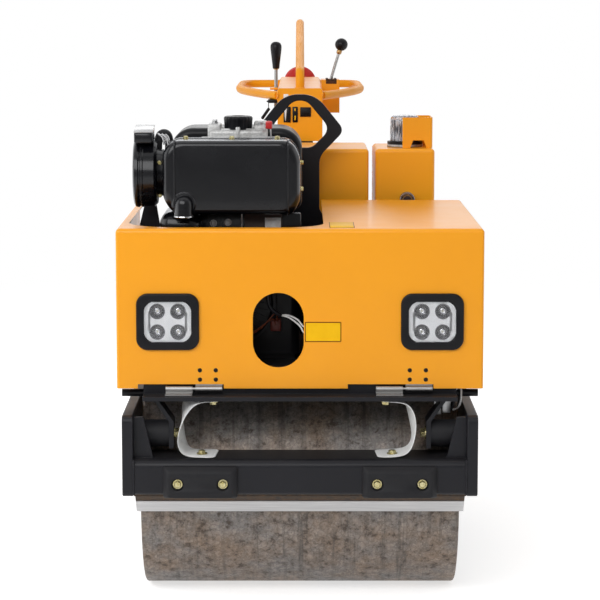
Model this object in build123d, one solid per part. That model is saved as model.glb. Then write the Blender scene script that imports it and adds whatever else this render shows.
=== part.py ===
from build123d import *
import os
from math import hypot

# Walk-behind double-drum vibratory roller.  Millimetres, +Z up, the operator stands at +Y.
# The origin is on the floor, below the centre of the machine's outline, on its plane of symmetry.

# ---- driving sizes ---------------------------------------------------------------------------
# drums
drum_diameter = 425.0
drum_width = 600.0
drum_wall = 14.0
drum_edge_round = 5.0
drum_disc_thickness = 12.0
drum_disc_recess = 68.0
hub_radius = 58.0
hub_length = 46.0
wheelbase = 490.0
axle_radius = 30.0
axle_running_gap = 0.05
axle_flange_radius = 78.0
axle_flange_thickness = 12.0
axle_end_gap = 4.0

# lower frame
side_plate_thickness = 20.0
side_plate_drum_gap = 7.0
side_plate_top = 380.0
side_plate_foot = 229.0
side_plate_lobe_bottom = 125.0
side_plate_lobe_half_width = 62.0
side_plate_lobe_flare = 68.0
side_plate_top_round = 14.0
side_plate_foot_round = 10.0
side_plate_flare_round = 30.0
side_plate_lobe_round = 45.0
hub_cover_radius = 84.0
hub_cover_depth = 9.0
hub_cover_round = 3.0
tie_down_radius = 20.0
tie_down_height = 320.0
chassis_overhang = 92.5
beam_bottom = 233.0
beam_top = 298.0
beam_flange = 100.0
beam_foot = 60.0
beam_wall = 10.0
beam_bend = 14.0
beam_inner_bend = 4.0
beam_foot_bend = 6.0
pad_width = 137.0
pad_depth = 16.0
pad_bottom = 228.6
pad_top = 287.5
pad_centre = 183.0
pad_bolt_spacing = 83.0
pad_bolt_height = 255.0
pad_recess_radius = 11.0
pad_recess_depth = 9.0
pad_chamfer_depth = 8.0
pad_chamfer_height = 11.0
pad_round = 3.5
gusset_thickness = 8.0
gusset_setback = 24.0
gusset_foot = 36.0
gusset_head = 18.0
gusset_top = 374.0
scraper_thickness = 5.0
scraper_leg = 30.0
scraper_seat = 12.0
scraper_bend = 3.0
scraper_side_gap = 0.3
scraper_tip_height = 188.0
scraper_drum_gap = 6.0

# upper frame on its rubber mounts
deck_bottom = 440.0
deck_thickness = 10.0
deck_hood_gap = 28.0
deck_setback = 10.0
deck_rail_width = 18.0
deck_rail_height = 30.0
apron_half_width = 290.0
apron_thickness = 8.0
apron_lip_depth = 40.0
apron_lip_bottom = 404.0
apron_lip_thickness = 8.0
mount_radius = 25.5
mount_beam_gap = 12.5
mount_setback = 20.0
leg_thickness = 9.0
leg_depth = 50.0
leg_foot_inside = 234.0
leg_splay = 28.0
leg_bend_share = 0.51
leg_bottom = 311.0
strap_thickness = 5.0
strap_width = 50.0
strap_inner_end = 148.0
strap_bulge = 226.0
strap_foot = 212.0
strap_setback = 45.0
strap_head_bend = 22.0
strap_side_bend = 50.0
strap_foot_bend = 9.0
spray_pipe_radius = 7.0
spray_pipe_half_length = 334.0
spray_pipe_height = 405.0
spray_pipe_setback = 62.0
spray_clip_spacing = 320.0
spray_clip_width = 14.0
spray_clip_wall = 3.0

weld_sink = 1.0
edge_overrun = 5.0

# hood
hood_width = 678.0
hood_length = 614.0
hood_bottom = 423.0
hood_top = 720.0
hood_sheet = 3.0
hood_setback = 50.0
hood_bend = 8.0
hood_corner = 5.0
cutout_front_rim = 27.0
cutout_left_rim = 17.5
cutout_right_edge = 44.0
cutout_left_corner = 95.0
cutout_right_corner = 75.0
viewing_hole_centre = -40.0
viewing_hole_width = 94.0
viewing_hole_height = 139.0
viewing_hole_middle = 532.0
notch_height = 8.0
lamp_centre = 244.0
lamp_middle = 548.0
lamp_width = 116.0
lamp_height = 105.0
lamp_round = 21.0
lamp_stand_out = 7.0
lamp_body_depth = 38.0
lamp_body_inset = 6.0
lamp_fit_gap = 0.3
lens_width = 87.0
lens_height = 75.0
lens_round = 15.0
lens_recess = 5.0
lens_pocket = 14.0
bezel_round = 3.0
led_floor_radius = 5.0
led_depth = 10.0
led_radius = 14.6
led_spacing = 38.5
hinge_radius = 5.3
hinge_pin_radius = 2.6
hinge_pin_gap = 0.06
hinge_leaf_thickness = 3.0
hinge_leaf_height = 36.0
hinge_knuckle = 49.5
hinge_gap = 5.5
hinge_web_height = 5.2
hinge_sink = 0.4
hinge_foot_front = 22.0
hinge_foot_rear = 6.0
hood_rest_from_rear = 74.0
hood_rest_width = 30.0
hood_rest_gap = 0.3
hood_rest_drop = 32.0
hood_rest_plate = 6.0
hood_rest_side_gap = 2.0
buffer_radius = 8.0
buffer_inset = 10.0
hood_foot_flange = 16.0
hood_flange_start = 60.0

# engine
engine_left = -250.0
engine_width = 250.0
engine_front = 170.0
engine_length = 300.0
engine_base_height = 12.0
crankcase_height = 200.0
crankcase_round = 18.0
engine_foot_inset = 10.0
engine_foot_length = 40.0
engine_foot_setback = 20.0
fan_housing_radius = 80.0
fan_housing_depth = 30.0
cylinder_centre_x = -120.0
cylinder_centre_setback = 300.0
cylinder_core = 118.0
fin_reach = 14.0
fin_thickness = 3.0
fin_pitch = 9.0
fin_count = 13
fin_end_space = 8.0
fin_first = 6.0
cyl_head_width = 150.0
cyl_head_length = 160.0
cyl_head_height = 80.0
cyl_head_round = 12.0
rocker_width = 113.0
rocker_length = 110.0
rocker_height = 20.0
rocker_corner = 14.0
rocker_edge = 6.0
rocker_boss_front = 30.0
rocker_boss_rear = 12.0
rocker_boss_round = 5.0
rocker_boss_width = 26.0
rocker_boss_height = 16.0
breather_radius = 28.0
breather_height = 27.0
breather_forward = 22.0
fuel_tank_width = 262.0
fuel_tank_length = 150.0
fuel_tank_height = 165.0
fuel_tank_round = 45.0
fuel_tank_foot_round = 20.0
fuel_tank_edge = 12.0
fuel_tank_gap = 8.0
fuel_tank_rise = 16.0
fuel_leg_width = 20.0
fuel_leg_inset = 40.0
muffler_left = -258.0
muffler_width = 259.0
muffler_setback = 90.0
muffler_depth = 120.0
muffler_bottom = 737.0
muffler_height = 139.0
muffler_chamfer_width = 24.0
muffler_chamfer_height = 32.0
muffler_edge = 7.0
outlet_from_left = 41.0
outlet_radius = 17.5
outlet_top = 774.0
outlet_bottom = 733.0
outlet_wall = 2.5
air_cleaner_radius = 66.0
air_cleaner_left = -315.0
air_cleaner_width = 45.0
air_cleaner_height = 811.0
air_cleaner_setback = 168.0
air_cleaner_edge = 12.0
snorkel_width = 31.0
snorkel_depth = 60.0
snorkel_forward = 20.0
snorkel_foot = 40.0
duct_radius = 9.0
duct_bend = 12.0
duct_reach = 16.0
duct_rise = 12.0
duct_port_forward = 30.0
snorkel_top = 903.0
pump_width = 150.0
pump_radius = 62.0
pump_height = 96.0
bell_radius = 78.0
bell_length = 60.0
battery_width = 197.0
battery_depth = 130.0
battery_height = 178.0
battery_left = 30.0
battery_setback = 60.0
battery_round = 6.0
terminal_radius = 8.0
terminal_height = 14.0
terminal_inset = 24.0

# tanks, beacon and lifting plate
tank_front_setback = 700.0
tank_top = 821.5
water_tank_width = 293.0
water_tank_length = 230.0
oil_tank_left = 160.6
oil_tank_width = 126.6
oil_tank_length = 200.0
tank_round = 8.0
filler_radius = 32.0
filler_height = 22.0
filler_left = -95.0
port_x = 228.4
port_height = 715.0
port_radius = 15.5
port_bore_radius = 8.0
port_reach = 20.0
port_bore_depth = 16.0
port_round = 2.0
beacon_x = 227.0
beacon_setback = 785.0
beacon_radius = 32.0
beacon_height = 62.0
beacon_base_radius = 38.0
beacon_base_height = 12.0
beacon_round = 7.0
guard_left = 219.8
guard_right = 284.3
guard_front_setback = 735.0
guard_depth = 100.0
guard_height = 65.0
guard_sheet = 3.0
guard_bend = 6.0
guard_slot_left = 17.0
guard_slot_right = 13.0
guard_slot_taper = 6.0
guard_slot_height = 16.0
lift_plate_setback = 650.0
lift_plate_thickness = 12.0
lift_trunk_half_width = 43.0
lift_neck_height = 812.0
lift_elbow_half_width = 91.0
lift_elbow_height = 864.0
lift_apex_height = 941.0
lift_hole_bottom = 829.0
lift_hole_half_width = 57.0
lift_hole_top = 927.0
lift_foot_depth = 44.0
lift_foot_height = 10.0
lift_foot_overhang = 12.0
lift_neck_drop = 14.0
lift_apex_share = 0.31
lift_hole_top_share = 0.33
lift_hole_foot_share = 0.4

# steering arm
mast_half_width = 45.0
mast_wall = 7.0
mast_shin = 60.0
mast_knee = 40.0
mast_rest_reach = 30.0
mast_rest_drop = 16.0
mast_foot_length = 52.0
mast_rake = 100.0
pivot_height = 775.0
pivot_radius = 12.0
pivot_eye_radius = 25.0
pivot_running_gap = 0.05
pivot_pin_overhang = 14.0
pin_head_extra = 5.0
pin_head_length = 5.0
head_half_width = 52.0
head_overlap = 40.0
arm_length = 800.0
head_bottom = 812.0
head_top = 934.0
head_round = 7.0
head_ear_thickness = 4.0
head_ear_length = 130.0
head_ear_lap = 20.0
head_ear_bend = 22.0
rest_pad_length = 34.0
rest_pad_overlap = 24.0
rest_gap = 0.3
rest_pad_half_width = 30.0
rest_pad_height = 12.0
bar_radius = 10.0
loop_half_width = 160.0
loop_height = 917.0
loop_front_inset = 40.0
loop_shoulder_inset = 235.0
loop_rear_inset = 25.0
loop_bend = 45.0
loop_shoulder_bend = 60.0
loop_front_bend = 40.0
loop_end_inset = 20.0
loop_flare = 8.0
bow_top = 1097.0
bow_front_inset = 20.0
bow_rear_inset = 40.0
bow_upstand = 34.0
bow_front_bend = 26.0
bow_rear_bend = 60.0
lever_rod_radius = 4.5
lever_boss_radius = 11.0
lever_boss_length = 10.0
lever_left_x = -58.0
lever_left_inset = 120.0
lever_left_foot = 890.0
lever_left_top = 1038.0
grip_length = 64.0
grip_top_radius = 13.5
grip_bottom_radius = 7.5
gate_box_width = 42.0
gate_box_length = 90.0
gate_box_bottom = 870.0
gate_box_top = 948.0
gate_box_inset = 160.0
gate_slot_left = 6.0
gate_slot_right = 12.0
gate_slot_depth = 14.0
gate_slot_margin = 12.0
gate_rod_radius = 3.5
lever_right_lean = 26.0
lever_right_top = 1032.0
ball_radius = 15.5
stop_disc_radius = 43.0
stop_disc_height = 918.0
stop_disc_thickness = 14.0
stop_disc_reach = 40.0
stop_disc_round = 4.0
plunger_radius = 12.0
plunger_drop = 14.0

# ---- stations worked out from the driving sizes ------------------------------------------------
drum_radius = drum_diameter / 2
half_drum = drum_width / 2
plate_inside = half_drum + side_plate_drum_gap
plate_outside = plate_inside + side_plate_thickness
chassis_half_length = wheelbase / 2 + drum_radius + chassis_overhang
mount_height = beam_top + mount_beam_gap + mount_radius
deck_half_width = hood_width / 2 - hood_sheet - deck_hood_gap
deck_top = deck_bottom + deck_thickness
deck_rear_setback = 2 * chassis_half_length - 2 * hood_setback - deck_setback
mast_foot_front = deck_rear_setback - mast_foot_length
pivot_setback = deck_rear_setback + mast_rake
head_front_setback = pivot_setback + head_overlap
head_rear_setback = head_front_setback + arm_length
rest_pad_setback = pivot_setback + rest_pad_overlap
rear_reach = head_rear_setback + stop_disc_reach
front_reach = hood_setback + pad_depth
hood_front = (front_reach - rear_reach) / 2
chassis_middle = hood_front - hood_setback + chassis_half_length
half_hood = hood_width / 2
engine_base = deck_top + engine_base_height
ENDS = (-1, 1)
SIDES = (-1, 1)
FRONT_VIEW = Plane(origin=(0, 0, 0), x_dir=(1, 0, 0), z_dir=(0, -1, 0))
SIDE_VIEW = Plane(origin=(0, 0, 0), x_dir=(0, 1, 0), z_dir=(1, 0, 0))


def behind(setback):
    """Y of a station given as its distance behind the hood's front face."""
    return hood_front + setback


def block(x, y, z):
    """Box between two X, two Y and two Z values."""
    size = (x[1] - x[0], y[1] - y[0], z[1] - z[0])
    return Pos((x[0] + x[1]) / 2, (y[0] + y[1]) / 2, (z[0] + z[1]) / 2) * Box(*size)


def rod(axis, centre, radius, length):
    """Cylinder about a main axis, centred on a point."""
    turn = {"x": Rot(0, 90, 0), "y": Rot(90, 0, 0), "z": Rot(0, 0, 0)}[axis]
    return Pos(*centre) * turn * Cylinder(radius, length)


def slab(view, points, stations, radius=0.0):
    """Outline with rounded corners, drawn in a view and extruded between two stations."""
    face = make_face(FilletPolyline(*points, radius=radius, close=True))
    sign = view.z_dir.X + view.z_dir.Y + view.z_dir.Z
    return extrude(view.offset(sign * stations[0]) * face, sign * (stations[1] - stations[0]))


def rounded_pad(centre, width, height, corner, stations):
    """Upright rectangle with round corners, between two Y stations."""
    face = Pos(centre[0], centre[1]) * RectangleRounded(width, height, corner)
    return extrude(FRONT_VIEW.offset(-stations[0]) * face, stations[0] - stations[1])


def tube(points, bends, radius):
    """Round bar along straight runs joined by tangent arcs."""
    path = FilletPolyline(*points, radius=bends)
    return sweep(Plane(origin=path @ 0, z_dir=path % 0) * Circle(radius), path=path)


def axle_y(end):
    """Y of the front (-1) or rear (1) drum's axis."""
    return chassis_middle + end * wheelbase / 2


# ---- drums ---------------------------------------------------------------------------------------
def drum(end):
    """Rolled shell with two recessed end discs, each with a hub bored for the stub axle."""
    centre = (0, axle_y(end), drum_radius)
    shell = fillet(rod("x", centre, drum_radius, drum_width).edges(), drum_edge_round)
    shell -= rod("x", centre, drum_radius - drum_wall, drum_width + 2)
    disc_outside = half_drum - drum_disc_recess
    for side in SIDES:
        at = (side * (disc_outside - drum_disc_thickness / 2), centre[1], centre[2])
        shell += rod("x", at, drum_radius - drum_wall + 0.5, drum_disc_thickness)
        hub_at = (side * (disc_outside + hub_length / 2 - drum_disc_thickness), centre[1], centre[2])
        shell += rod("x", hub_at, hub_radius, hub_length)
    return shell - rod("x", centre, axle_radius + axle_running_gap, drum_width)


def stub_axles():
    """Flanged shafts on the inner faces of the side plates, which carry the two drums."""
    axles = []
    shaft_inside = half_drum - drum_disc_recess - drum_disc_thickness - axle_end_gap
    for end in ENDS:
        for side in SIDES:
            shaft_middle = side * (shaft_inside + plate_inside) / 2
            flange_middle = side * (plate_inside - axle_flange_thickness / 2)
            shaft = rod("x", (shaft_middle, axle_y(end), drum_radius), axle_radius,
                        plate_inside - shaft_inside)
            flange = rod("x", (flange_middle, axle_y(end), drum_radius), axle_flange_radius,
                         axle_flange_thickness)
            axles.append(shaft + flange)
    return Compound(children=axles)


# ---- lower frame ---------------------------------------------------------------------------------
def side_plate(side):
    """Flame-cut plate with a rounded lobe and a raised hub cover round each drum axis."""
    middle, reach, flare = chassis_middle, side_plate_lobe_half_width, side_plate_lobe_flare
    front, rear = middle - chassis_half_length, middle + chassis_half_length
    outline = [(front, side_plate_top), (front, side_plate_foot)]
    bends = [side_plate_top_round, side_plate_foot_round]
    for end in ENDS:
        y = axle_y(end)
        outline += [(y - reach - flare, side_plate_foot), (y - reach, side_plate_lobe_bottom),
                    (y + reach, side_plate_lobe_bottom), (y + reach + flare, side_plate_foot)]
        bends += [side_plate_flare_round, side_plate_lobe_round, side_plate_lobe_round, side_plate_flare_round]
    outline += [(rear, side_plate_foot), (rear, side_plate_top)]
    bends += [side_plate_foot_round, side_plate_top_round]
    plate = slab(SIDE_VIEW, outline, sorted((side * plate_inside, side * plate_outside)), bends)
    for end in ENDS:
        at = (side * (plate_outside + hub_cover_depth / 2), axle_y(end), drum_radius)
        cover = rod("x", at, hub_cover_radius, hub_cover_depth)
        rim = cover.faces().sort_by(Axis.X)[-1 if side > 0 else 0].edges()
        plate += fillet(rim, hub_cover_round)
    eye = (side * (plate_inside + plate_outside) / 2, middle, tie_down_height)
    return plate - rod("x", eye, tie_down_radius, side_plate_thickness + 2)


def cross_beam(end):
    """Formed channel between the side plates, open towards the drum."""
    out = chassis_middle + end * chassis_half_length
    into = -end
    outline = [
        (out, beam_bottom), (out + into * beam_foot, beam_bottom),
        (out + into * beam_foot, beam_bottom + beam_wall),
        (out + into * beam_wall, beam_bottom + beam_wall),
        (out + into * beam_wall, beam_top - beam_wall),
        (out + into * beam_flange, beam_top - beam_wall),
        (out + into * beam_flange, beam_top), (out, beam_top)]
    bends = [beam_foot_bend, 0, 0, beam_inner_bend, beam_inner_bend, 0, 0, beam_bend]
    beam = slab(SIDE_VIEW, outline, (-plate_inside, plate_inside), bends)
    near = out + into * gusset_setback
    across = sorted((near, near + into * gusset_thickness))
    for side in SIDES:
        wall = side * plate_inside
        corners = [(wall, beam_top - weld_sink), (wall - side * gusset_foot, beam_top - weld_sink),
                   (wall - side * gusset_head, gusset_top), (wall, gusset_top)]
        beam += slab(FRONT_VIEW, corners, across)
    return beam


def bumper_pads():
    """Two moulded pads on each beam's face, each with two recesses for its bolts."""
    pads = []
    for end, side in [(end, side) for end in ENDS for side in SIDES]:
        seat = chassis_middle + end * chassis_half_length
        face = seat + end * pad_depth
        outline = [(seat, pad_bottom), (face, pad_bottom), (face, pad_top - pad_chamfer_height),
                   (face - end * pad_chamfer_depth, pad_top), (seat, pad_top)]
        x = side * pad_centre
        pad = slab(SIDE_VIEW, outline, (x - pad_width / 2, x + pad_width / 2),
                   [0, pad_round, pad_round, pad_round, 0])
        for hand in SIDES:
            at = (x + hand * pad_bolt_spacing / 2, face, pad_bolt_height)
            pad -= rod("y", at, pad_recess_radius, 2 * pad_recess_depth)
        pads.append(pad)
    return Compound(children=pads)


def scraper(end):
    """Bent strip under the beam: a flat leg on the flange and a blade that slopes to the drum."""
    foot = chassis_middle + end * (chassis_half_length - scraper_seat)
    knee = foot - end * scraper_leg
    drop = drum_radius - scraper_tip_height
    reach = drum_radius + scraper_drum_gap
    tip = axle_y(end) + end * (reach ** 2 - drop ** 2) ** 0.5
    top, under = beam_bottom, beam_bottom - scraper_thickness
    outline = [(foot, top), (knee, top), (tip, scraper_tip_height),
               (tip + end * scraper_thickness, scraper_tip_height - weld_sink),
               (knee + end * scraper_bend, under), (foot, under)]
    reach = plate_inside - scraper_side_gap
    return slab(SIDE_VIEW, outline, (-reach, reach), [0, scraper_bend, 0, 0, scraper_bend, 0])


# ---- upper frame ---------------------------------------------------------------------------------
def apron_y(end):
    """Y of the outer face of the upper frame's front or rear apron."""
    return chassis_middle + end * (chassis_half_length - hood_setback - deck_setback)


def upper_frame():
    """Deck plate with side rails, a lipped apron at each end and four bent legs for the mounts."""
    front, rear = apron_y(-1), apron_y(1)
    wide = (-deck_half_width, deck_half_width)
    frame = block(wide, (front, rear), (deck_bottom, deck_top))
    for side in SIDES:
        rail = sorted((side * deck_half_width, side * (deck_half_width - deck_rail_width)))
        frame += block(rail, (front, rear), (deck_top - weld_sink, deck_top + deck_rail_height))
    for end in ENDS:
        out, into = apron_y(end), -end
        lip_end = out + end * apron_lip_depth
        across = (-apron_half_width, apron_half_width)
        apron = sorted((out, out + into * apron_thickness))
        frame += block(across, apron, (apron_lip_bottom, deck_bottom + weld_sink))
        lip = sorted((out + into * apron_thickness, lip_end))
        frame += block(across, lip, (apron_lip_bottom, apron_lip_bottom + apron_lip_thickness))
        for side in SIDES:
            frame += mount_leg(side, end)
    return frame


def mount_leg(side, end):
    """Bent plate that hangs from the deck beside a rubber mount."""
    middle = hood_mount_y(end)
    knee = mount_height + mount_radius
    shoulder = knee + leg_bend_share * (deck_bottom - knee)
    inside, outside = leg_foot_inside, leg_foot_inside + leg_thickness
    head = deck_bottom + weld_sink
    outline = [(side * inside, leg_bottom), (side * outside, leg_bottom), (side * outside, knee),
               (side * (outside + leg_splay), shoulder), (side * (outside + leg_splay), head),
               (side * (inside + leg_splay), head), (side * (inside + leg_splay), shoulder),
               (side * inside, knee)]
    leg = slab(FRONT_VIEW, outline, (middle - leg_depth / 2, middle + leg_depth / 2))
    ahead = sorted((apron_y(end), apron_y(end) + end * leg_depth))
    return leg - block((-deck_half_width, deck_half_width), ahead, (apron_lip_bottom + weld_sink, deck_top))


def hood_mount_y(end):
    """Y of the rubber mounts at one end."""
    return chassis_middle + end * (chassis_half_length - hood_setback - mount_setback)


def rubber_mounts():
    """Four rubber cylinders between the legs and the side plates."""
    inside = leg_foot_inside + leg_thickness
    mounts = []
    for end in ENDS:
        for side in SIDES:
            centre = (side * (inside + plate_inside) / 2, hood_mount_y(end), mount_height)
            mounts.append(rod("x", centre, mount_radius, plate_inside - inside))
    return Compound(children=mounts)


def limit_straps():
    """Two webbing straps at each end, from the upper frame's lip to the beam."""
    high = apron_lip_bottom - strap_thickness / 2
    low = beam_top + strap_thickness / 2
    straps = []
    for end, side in [(end, side) for end in ENDS for side in SIDES]:
        middle = chassis_middle + end * (chassis_half_length - strap_setback)
        points = [(side * strap_inner_end, middle, high), (side * strap_bulge, middle, high),
                  (side * (strap_bulge + strap_thickness / 2), middle, (high + low) / 2),
                  (side * strap_foot, middle, low), (side * strap_inner_end, middle, low)]
        path = FilletPolyline(*points, radius=[strap_head_bend, strap_side_bend, strap_foot_bend])
        section = Plane(origin=path @ 0, x_dir=(0, 1, 0), z_dir=path % 0)
        straps.append(sweep(section * Rectangle(strap_width, strap_thickness), path=path))
    return Compound(children=straps)


def spray_pipes():
    """Water pipe above each drum, hung from the deck by two clips."""
    pipes = []
    reach = spray_pipe_radius + spray_clip_wall
    for end in ENDS:
        y = chassis_middle + end * (chassis_half_length - hood_setback - spray_pipe_setback)
        pipe = rod("x", (0, y, spray_pipe_height), spray_pipe_radius, 2 * spray_pipe_half_length)
        for side in SIDES:
            x = side * spray_clip_spacing / 2
            pipe += block((x - spray_clip_width / 2, x + spray_clip_width / 2), (y - reach, y + reach),
                          (spray_pipe_height - reach, deck_bottom))
        pipes.append(pipe)
    return Compound(children=pipes)


# ---- hood ----------------------------------------------------------------------------------------
HINGES = (  # left end of the pair of knuckles, left and right ends of the notch cut for it
    (-248.5, -300.0, -141.0),
    (140.6, 88.5, 247.0),
)


def hood_shell():
    """Folded sheet: front, sides and top, cut out over the engine, open below and behind."""
    over = edge_overrun
    rear_edge = behind(hood_length)
    outer = block((-half_hood, half_hood), (hood_front, rear_edge + 4 * over),
                  (hood_bottom - 4 * over, hood_top))
    outer = fillet(outer.edges().filter_by(Axis.Z).group_by(Axis.Y)[0], hood_corner)
    roof_edges = outer.faces().sort_by(Axis.Z)[-1].edges()
    outer = fillet(roof_edges.sort_by(Axis.Y)[:-1], hood_bend)
    opened = [outer.faces().sort_by(Axis.Z)[0], outer.faces().sort_by(Axis.Y)[-1]]
    shell = offset(outer, amount=-hood_sheet, openings=opened, kind=Kind.INTERSECTION)
    shell = shell & block((-half_hood - over, half_hood + over), (hood_front - over, rear_edge),
                          (hood_bottom, hood_top + over))
    left, right = -half_hood + cutout_left_rim, cutout_right_edge
    front, rear = behind(cutout_front_rim), rear_edge + cutout_right_corner
    shell -= slab(Plane.XY, [(left, rear), (left, front), (right, front), (right, rear)],
                  (hood_top - 2 * hood_bend, hood_top + over), [0, cutout_left_corner, cutout_right_corner, 0])
    through = (hood_front - over, hood_front + hood_sheet + over)
    shell -= rounded_pad((viewing_hole_centre, viewing_hole_middle), viewing_hole_width,
                         viewing_hole_height, viewing_hole_width / 2 - 0.01, through)
    for side in SIDES:
        shell -= rounded_pad((side * lamp_centre, lamp_middle), *lamp_body_size(lamp_fit_gap), through)
    for _, left, right in HINGES:
        shell -= block((left, right), through, (hood_bottom - over, hood_bottom + notch_height))
    return shell


def hood_panels():
    """The hood divided at its bends into front, top and two side panels."""
    shell = hood_shell()
    bend_y, bend_z = hood_front + hood_bend, hood_top - hood_bend
    over = edge_overrun
    far, rear = half_hood + over, behind(hood_length) + over
    floor, roof = hood_bottom - over, hood_top + over
    panels = {
        "hood_front_panel": shell & block((-far, far), (hood_front - over, bend_y), (floor, roof)),
        "hood_top_panel": shell & block((-far, far), (bend_y, rear), (bend_z, roof)),
    }
    for side, name in zip(SIDES, ("hood_side_left", "hood_side_right")):
        panel = shell & block(sorted((0, side * far)), (bend_y, rear), (floor, bend_z))
        inner = half_hood - hood_sheet
        flange = sorted((side * (inner + hood_sheet / 2), side * (inner - hood_foot_flange)))
        along = (behind(hood_flange_start), behind(hood_length))
        panel += block(flange, along, (hood_bottom, hood_bottom + hood_sheet))
        panels[name] = panel
    return panels


def lamp_body_size(gap=0.0):
    """Width, height and corner radius of the lamp's body where it passes the front panel."""
    width = lamp_width - 2 * lamp_body_inset + 2 * gap
    height = lamp_height - 2 * lamp_body_inset + 2 * gap
    return width, height, lamp_round - lamp_body_inset + gap


def work_lamp(side):
    """Square lamp: a bezel on the panel's face, a body behind it and a pocket for the reflector."""
    centre = (side * lamp_centre, lamp_middle)
    front = hood_front - lamp_stand_out
    bezel = rounded_pad(centre, lamp_width, lamp_height, lamp_round, (front, hood_front))
    bezel = fillet(bezel.faces().sort_by(Axis.Y)[0].edges(), bezel_round)
    body = rounded_pad(centre, *lamp_body_size(), (hood_front - weld_sink, hood_front + lamp_body_depth))
    pocket = rounded_pad(centre, lens_width, lens_height, lens_round,
                         (front - weld_sink, front + lens_recess + lens_pocket))
    return bezel + body - pocket


def lamp_reflectors():
    """White reflector plate in each lamp with four bowls, one for each light."""
    plates = []
    for side in SIDES:
        centre = (side * lamp_centre, lamp_middle)
        front = hood_front - lamp_stand_out + lens_recess
        plate = rounded_pad(centre, lens_width, lens_height, lens_round, (front, front + lens_pocket))
        for column, row in [(column, row) for column in SIDES for row in SIDES]:
            x = centre[0] + column * led_spacing / 2
            z = centre[1] + row * led_spacing / 2
            bowl = Cone(led_floor_radius, led_radius, led_depth)
            plate -= Pos(x, front + led_depth / 2 - 0.01, z) * Rot(90, 0, 0) * bowl
        plates.append(plate)
    return Compound(children=plates)


def hinge_axis():
    """Y and Z of the hood's hinge axis."""
    return hood_front, hood_bottom - hinge_sink


def hood_knuckles():
    """Hood half of each hinge: a bored knuckle and a leaf behind the front panel."""
    y, z = hinge_axis()
    back = hood_front + hood_sheet
    leaves = []
    for left, _, _ in HINGES:
        start = left + hinge_knuckle + hinge_gap
        across = (start, start + hinge_knuckle)
        middle = (start + hinge_knuckle / 2, y, z)
        leaf = block(across, (back, back + hinge_leaf_thickness), (z, z + hinge_leaf_height))
        web = block(across, (hood_front, back + hinge_leaf_thickness), (z, z + hinge_web_height))
        knuckle = rod("x", middle, hinge_radius, hinge_knuckle)
        bore = rod("x", middle, hinge_pin_radius + hinge_pin_gap, 2 * hinge_knuckle)
        leaves.append(leaf + web + knuckle - bore)
    return Compound(children=leaves)


def frame_knuckles():
    """Frame half of each hinge: a knuckle with its pin and a foot on the apron's lip."""
    y, z = hinge_axis()
    lip_top = apron_lip_bottom + apron_lip_thickness
    feet = []
    for left, _, _ in HINGES:
        across = (left, left + hinge_knuckle)
        knuckle = rod("x", (left + hinge_knuckle / 2, y, z), hinge_radius, hinge_knuckle)
        pin_length = 2 * hinge_knuckle + hinge_gap
        pin = rod("x", (left + pin_length / 2, y, z), hinge_pin_radius, pin_length)
        web = block(across, (y - hinge_pin_radius, y + hinge_pin_radius), (lip_top, z))
        foot = block(across, (y - hinge_foot_front, y + hinge_foot_rear),
                     (lip_top, lip_top + hinge_leaf_thickness))
        feet.append(knuckle + pin + web + foot)
    return Compound(children=feet)


def hood_rests():
    """Bracket with a rubber buffer on each side rail, under the hood's foot flange."""
    rests = []
    middle = behind(hood_length - hood_rest_from_rear)
    along = (middle - hood_rest_width / 2, middle + hood_rest_width / 2)
    floor = deck_bottom - hood_rest_drop
    shelf_top = floor + hood_rest_plate
    for side in SIDES:
        outer = half_hood - hood_sheet - hood_rest_side_gap
        shelf = block(sorted((side * deck_half_width, side * outer)), along, (floor, shelf_top))
        hanger = sorted((side * deck_half_width, side * (deck_half_width + hood_rest_plate)))
        top = hood_bottom - hood_rest_gap
        buffer_at = (side * (outer - buffer_inset), middle, (shelf_top - weld_sink + top) / 2)
        buffer = rod("z", buffer_at, buffer_radius, top - shelf_top + weld_sink)
        rests.append(shelf + block(hanger, along, (floor, deck_top)) + buffer)
    return Compound(children=rests)


# ---- engine --------------------------------------------------------------------------------------
def crankcase():
    """Engine block on its base rails, with a round fan housing on the front."""
    x = (engine_left, engine_left + engine_width)
    y = (behind(engine_front), behind(engine_front + engine_length))
    case = block(x, y, (engine_base, engine_base + crankcase_height))
    case = fillet(case.edges().filter_by(Axis.Z), crankcase_round)
    across = (x[0] + engine_foot_inset, x[1] - engine_foot_inset)
    first = y[0] + engine_foot_setback
    last = y[1] - engine_foot_setback - engine_foot_length
    for start in (first, last):
        case += block(across, (start, start + engine_foot_length), (deck_top, engine_base + weld_sink))
    housing_at = ((x[0] + x[1]) / 2, y[0], engine_base + crankcase_height / 2)
    return case + rod("y", housing_at, fan_housing_radius, fan_housing_depth)


def cylinder_and_head():
    """Air-cooled cylinder: a core with a stack of square fins, and the finned head above it."""
    x, y = cylinder_centre_x, behind(cylinder_centre_setback)
    base = engine_base + crankcase_height
    core_height = fin_count * fin_pitch + fin_end_space
    barrel = Pos(x, y, base + core_height / 2) * Cylinder(cylinder_core / 2, core_height)
    fin_size = cylinder_core + 2 * fin_reach
    for number in range(fin_count):
        z = base + fin_first + number * fin_pitch
        barrel += Pos(x, y, z) * Box(fin_size, fin_size, fin_thickness)
    head = Box(cyl_head_width, cyl_head_length, cyl_head_height)
    head = fillet(head.edges().filter_by(Axis.Z), cyl_head_round)
    return barrel + Pos(x, y, base + core_height + cyl_head_height / 2) * head


def cyl_head_top():
    """Z of the top of the cylinder head."""
    return engine_base + crankcase_height + fin_count * fin_pitch + fin_end_space + cyl_head_height


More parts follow.
